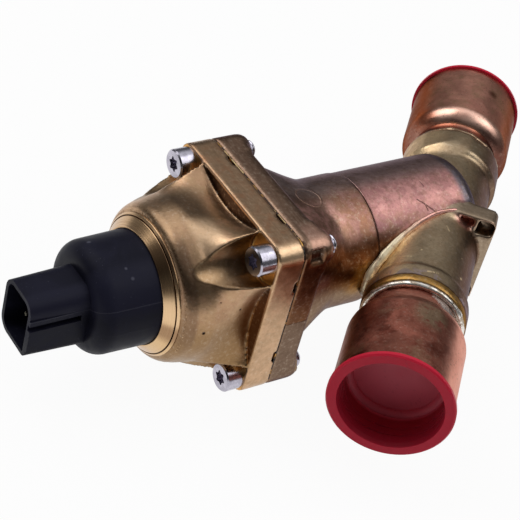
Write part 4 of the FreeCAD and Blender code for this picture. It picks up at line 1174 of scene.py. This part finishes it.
bright_solder = silver_solder("bright_solder", tint(244, 238, 230), tint(196, 182, 164), tint(98, 78, 58))
dull_solder = silver_solder("dull_solder", tint(176, 150, 124), tint(140, 112, 90), tint(84, 62, 48))
for side, face, towards, solder in (("inlet", INLET_COLLAR_FACE, -1, bright_solder),
                                    ("outlet", OUTLET_COLLAR_FACE, 1, dull_solder)):
    bead = solder_bead(side + "_solder_bead", face, towards)
    finished(bead, solder, "housing")
    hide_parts(side + "_braze_ring")

# %% [markdown]
# The ends of the four screws stand out behind the flange and show their thread. A helix could be
# modelled, but at this size rings look the same and stay light, so each thread is a short spun comb
# of ridges round the screw's end.

# %% Threads on the screws' ends
SCREW_TIP = 72.3
THREAD_PITCH = 1.0
THREAD_INNER = 2.95
THREAD_OUTER = 3.22

section = [(THREAD_INNER, SCREW_TIP + 0.5)]
for ridge in range(3):
    foot = SCREW_TIP + 0.5 + ridge * THREAD_PITCH
    section += [(THREAD_OUTER, foot + 0.42), (THREAD_OUTER, foot + 0.58), (THREAD_INNER, foot + 1.0)]
section += [(THREAD_INNER - 0.4, SCREW_TIP + 3.5), (THREAD_INNER - 0.4, SCREW_TIP + 0.5)]
threads = []
for number, (side, height) in enumerate(((1, 1), (1, -1), (-1, 1), (-1, -1)), start=1):
    place = on_stem(0, side * SCREW_PLACE, height * SCREW_PLACE)
    threads.append(spun("screw_thread_%d" % number, section, place, STEM, STEM_SIDE, 40))
print("cut", len(threads), "threads")

# %% [markdown]
# The screws are steel with bright zinc on it, faintly blue, with painted shade in their recesses and
# under their heads. Plain chrome would look too clean, so fine grain breaks the reflection, and the
# inward edges get painted shade by how far the surface bends.

# %% Zinc of the screws


def zinc_plate():
    finish = Finish("zinc_plate")
    grain = finish.noise(0.5, 3.0, 0.6)
    blotches = finish.noise(2.5, 3.0, 0.6)
    return finish.shade(
        base_color=finish.layers(
            finish.mix(blotches.step(0.35, 0.65), tint(196, 192, 204), tint(176, 172, 184)),
            # Painted shade where the surface bends inwards.
            (finish.edges(0.47, 0.40), 0.8, tint(60, 56, 60)),
            (grain.step(0.58, 0.68), 0.4, tint(110, 104, 112))),
        metallic=1.0,
        roughness=blotches.step(0.2, 0.8, 0.16, 0.28),
        normal=finish.bump(grain, 0.3, 0.03))


zinc = zinc_plate()
dress(zinc, "flange_screws")
for thread in threads:
    finished(thread, zinc, "housing")

# %% [markdown]
# The gasket is a thin dark sheet, and painted highlights lie in places along its edge as patches of
# gold. Patches of gold in a dark edge need no new form, so noise stretched along the joint makes them.

# %% Edge of the gasket


def gasket_edge():
    finish = Finish("gasket_edge")
    finish.measure_stem()
    patches = finish.noise(1.0, 2.0, 0.5, place=finish.stretched(
        (finish.stem, 4.0), (finish.side, 4.0), (finish.height, 4.0)))
    widest = finish.most(abs(finish.side), abs(finish.height))
    edge_glints = patches.step(0.54, 0.60) * widest.step(FLANGE_REACH - 1.5, FLANGE_REACH - 0.8)
    bright_bits = joint_highlights(finish)
    # Gold is where painted highlights lie along the edge.
    gold = finish.most(edge_glints, bright_bits)
    return finish.shade(
        base_color=finish.mix(gold, tint(46, 32, 24),
                              finish.mix(bright_bits, tint(196, 150, 84), tint(250, 220, 166))),
        metallic=gold * 0.9,
        roughness=patches.step(0.3, 0.7, 0.6, 0.35),
        normal=finish.bump(finish.noise(0.6), 0.4, 0.05))


dress(gasket_edge(), "flange_gasket")

# %% [markdown]
# The shipping plugs are soft red plastic, a little waxy. One plain red would do from afar, but an
# even gloss is what makes plastic look drawn, so the gloss is uneven and faint scuffs lie over it.
# Inside the cup the red is deeper with painted shade, and its floor, which looks straight up, is paler
# with a painted sheen.

# %% Red plastic of the plugs
PORTS_MIDDLE = 62.8
CUP_REACH = 17.2


def plug_red():
    finish = Finish("plug_red")
    finish.measure_ports()
    waxy = finish.noise(7.0)
    scuffs = finish.noise(1.6, 3.0, 0.6)
    from_middle = abs(finish.port - PORTS_MIDDLE)
    return finish.shade(
        base_color=finish.layers(
            finish.mix(waxy, tint(210, 34, 60), tint(222, 42, 68)),
            # Painted shade where the surface bends inwards.
            (finish.edges(0.47, 0.38), 0.5, tint(100, 8, 22)),
            # Painted shade inside the cup.
            (finish.port_reach.step(CUP_REACH + 0.3, CUP_REACH), 0.8, tint(156, 30, 48)),
            # Painted sheen on the cup's floor.
            (from_middle.step(PORTS_MIDDLE + 15.5, PORTS_MIDDLE + 14.0), 0.8, tint(226, 100, 116)),
            (scuffs.step(0.6, 0.7), 0.25, tint(170, 60, 76))),
        roughness=waxy.step(0.3, 0.7, 0.34, 0.48),
        specular_ior_level=0.2,
        normal=finish.bump(waxy, 0.2, 0.2, finish.bump(scuffs, 0.15, 0.04)))


dress(plug_red(), "inlet_plug", "outlet_plug")

# %% [markdown]
# The cover is hard black plastic with a satin skin, a thin parting line, dust and a light scratch.
# The line could be a ridge in the mesh, but it is a tenth of a millimetre high, so it is a bump and
# a slightly lighter stroke in the colour.

# %% Black plastic of the motor cover
PARTING_DEGREES = 26


def cover_black():
    finish = Finish("cover_black")
    finish.measure_stem()
    smears = finish.noise(8.0, 4.0, 0.6, 0.5)
    turn = math.radians(PARTING_DEGREES)
    off_plane = finish.side * math.sin(turn) - finish.height * math.cos(turn)
    line = off_plane.band(0.0, 0.05, 0.22) * finish.side.step(2.0, 6.0)
    specks = finish.most(
        finish.spot(around_stem(137.9, 19.0, 65), 0.2, 0.5),
        finish.spot(around_stem(136.8, 19.1, 54), 0.25, 0.6),
        finish.spot(around_stem(143.8, 18.9, 109), 0.3, 0.7),
        finish.noise(0.45, 2.0).step(0.70, 0.74) * smears.step(0.45, 0.6))
    scratch = finish.stroke(around_stem(151.7, 12.1, -35), around_stem(147.5, 17.3, -51), 0.05, 0.3)
    return finish.shade(
        base_color=finish.layers(
            finish.mix(smears.step(0.4, 0.7), tint(24, 24, 37), tint(30, 30, 45)),
            # Painted sheen on the cover's upper side.
            (finish.facing(44, 0.84, 0.99), 0.8, tint(40, 40, 56)),
            (specks, 0.5, tint(104, 104, 118)),
            (finish.most(line, scratch), 0.25, tint(84, 84, 98))),
        roughness=smears.step(0.3, 0.7, 0.4, 0.54),
        specular_ior_level=0.09,
        normal=finish.bump(line, 0.6, 0.12, finish.bump(finish.noise(0.5, 2.0), 0.12, 0.03)))


dress(cover_black(), "motor_cover")

# %% [markdown]
# What lies inside shows only when the valve is taken apart, and most of it was turned. One short
# tree serves for all of it: fine rings round the stem's axis, a metal's colour and its gloss.

# %% Finishes for the inner pieces


def turned_metal(name, colour, roughness, ring_mm=0.4):
    finish = Finish(name)
    finish.measure_stem()
    rings = finish.noise(1.0, 2.0, 0.6, place=finish.stretched(
        (finish.stem, ring_mm), (finish.reach, ring_mm), (finish.side, 60.0)))
    blotches = finish.noise(4.0, 3.0, 0.6)
    darker = tuple(0.75 * part for part in colour)
    return finish.shade(
        base_color=finish.mix(blotches.step(0.35, 0.7), colour, darker),
        metallic=1.0,
        roughness=blotches.step(0.2, 0.8, roughness - 0.04, roughness + 0.08),
        normal=finish.bump(rings, 0.3, 0.02))


def matt_piece(name, colour, roughness):
    finish = Finish(name)
    grain = finish.noise(0.8, 3.0, 0.6)
    lighter = tuple(1.3 * part for part in colour)
    return finish.shade(
        base_color=finish.mix(grain.step(0.35, 0.7), colour, lighter),
        roughness=grain.step(0.3, 0.7, roughness - 0.06, roughness + 0.06),
        normal=finish.bump(grain, 0.25, 0.03))


def wound_copper():
    finish = Finish("wound_copper")
    finish.measure_stem()
    turns = finish.sums("SINE", finish.stem * (2 * math.pi / 0.4))
    return finish.shade(
        # Painted shade between the wire's turns, with the turns' tops lighter.
        base_color=finish.mix(turns.step(-1.0, 0.4), tint(92, 40, 20), tint(190, 96, 52)),
        metallic=0.9,
        roughness=0.32,
        normal=finish.bump(turns, 0.6, 0.1))


print("inner finishes:", turned_metal.__name__, matt_piece.__name__, wound_copper.__name__)

# %% Inner pieces dressed
dress(turned_metal("turned_brass", tint(212, 180, 118), 0.3), "guide_sleeve", "piston", "seal_retainer",
      "lead_nut", "rotor_hub", "can_nut")
dress(turned_metal("turned_steel", tint(196, 196, 200), 0.28), "seat_ring", "guide_pin", "lead_screw",
      "front_bearing", "rotor_can", "stator_yoke")
dress(turned_metal("tin_plate", tint(206, 200, 178), 0.3, 1.2), "contact_pins")
dress(matt_piece("moulded_ferrite", tint(58, 58, 62), 0.55), "rotor_magnet")
dress(matt_piece("seal_white", tint(214, 212, 204), 0.45), "piston_ring", "seat_seal", "rear_bearing")
dress(matt_piece("seal_black", tint(26, 26, 28), 0.6), "can_seal", "cover_seal")
dress(wound_copper(), "stator_coils")

# %% [markdown]
# In the photograph the valve lies on pure white, and only a hint of shade shows under it. A white
# sheet under the lamps would come out grey, so the floor also glows where the camera or a
# reflection sees it. Further off it fades, because bright metal would show a far white edge.

# %% Floor
FADE_START = 0.50
FADE_END = 1.30
GLOW_SHARE = 0.95

floor_shape = bmesh.new()
bmesh.ops.create_grid(floor_shape, x_segments=1, y_segments=1, size=3.0)
bmesh.ops.translate(floor_shape, verts=floor_shape.verts, vec=(0, 0, solids_low[2]))
floor = object_of("floor", floor_shape)
white = Finish("floor_white")
from_middle = white.vector("DISTANCE", white.place, (0.0, 0.10, solids_low[2]))
white.shade(
    base_color=white.mix(from_middle.step(FADE_START, FADE_END), (0.9, 0.9, 0.9), (0.25, 0.25, 0.25)),
    roughness=0.9)
glow = white.add("ShaderNodeEmission")
white.fill(glow, Strength=from_middle.step(FADE_START, FADE_END, 1.0, 0.3))
rays = white.add("ShaderNodeLightPath").outputs
seen = white.most(*(rays["Is %s Ray" % kind] for kind in ("Camera", "Glossy", "Transmission")))
show = white.add("ShaderNodeMixShader")
for socket, source in zip(show.inputs, (seen * GLOW_SHARE, white.shader.outputs[0], glow.outputs[0])):
    white.put(socket, source)
white.put(white.tree.nodes["Material Output"].inputs["Surface"], show.outputs[0])
floor.data.materials.append(white.material)
print("laid the floor at", solids_low[2])

# %% [markdown]
# Metal shows what is round it. In the photograph the valve is lit from above and its lower sides
# are dark. A picture of a studio could surround it, but two smooth steps are enough: the world is
# bright overhead and dim at the horizon, and dim behind the camera.

# %% World
world = bpy.data.worlds.new("studio")
bpy.context.scene.world = world
world.use_nodes = True
sky = Nodes(world.node_tree)
direction = sky.add("ShaderNodeTexCoord").outputs["Generated"]
overhead = sky.vector("DOT_PRODUCT", direction, tuple(UP)).step(0.48, 0.84, 0.12, 0.88)
away = sky.vector("DOT_PRODUCT", direction, tuple(CAMERA_BACK)).step(0.3, 0.9, 1.0, 0.25)
sky.fill(world.node_tree.nodes["Background"], Strength=overhead * away, Color=(0.97, 0.98, 1.0))
print("the sky has", len(world.node_tree.nodes), "nodes")

# %% [markdown]
# A product like this is lit by large soft boxes, which draw broad highlights on round metal. Sun
# lamps would give hard small ones, so two square area lamps stand above, the left one stronger.

# %% Lamps


def soft_lamp(name, place, size, power):
    """A square lamp that looks at the valve from a place in metres."""
    data = bpy.data.lights.new(name, "AREA")
    data.size = size
    data.energy = power
    lamp = bpy.data.objects.new(name, data)
    bpy.context.scene.collection.objects.link(lamp)
    lamp.location = place
    lamp.rotation_euler = (Vector(place) - CROSSING).to_track_quat("Z", "Y").to_euler()
    print(name, "gives", power, "watts")


soft_lamp("lamp_right", (0.70, 0.15, 0.85), 0.8, 2.6)
soft_lamp("lamp_left", (-0.72, 0.22, 0.82), 0.9, 4.0)

# %% [markdown]
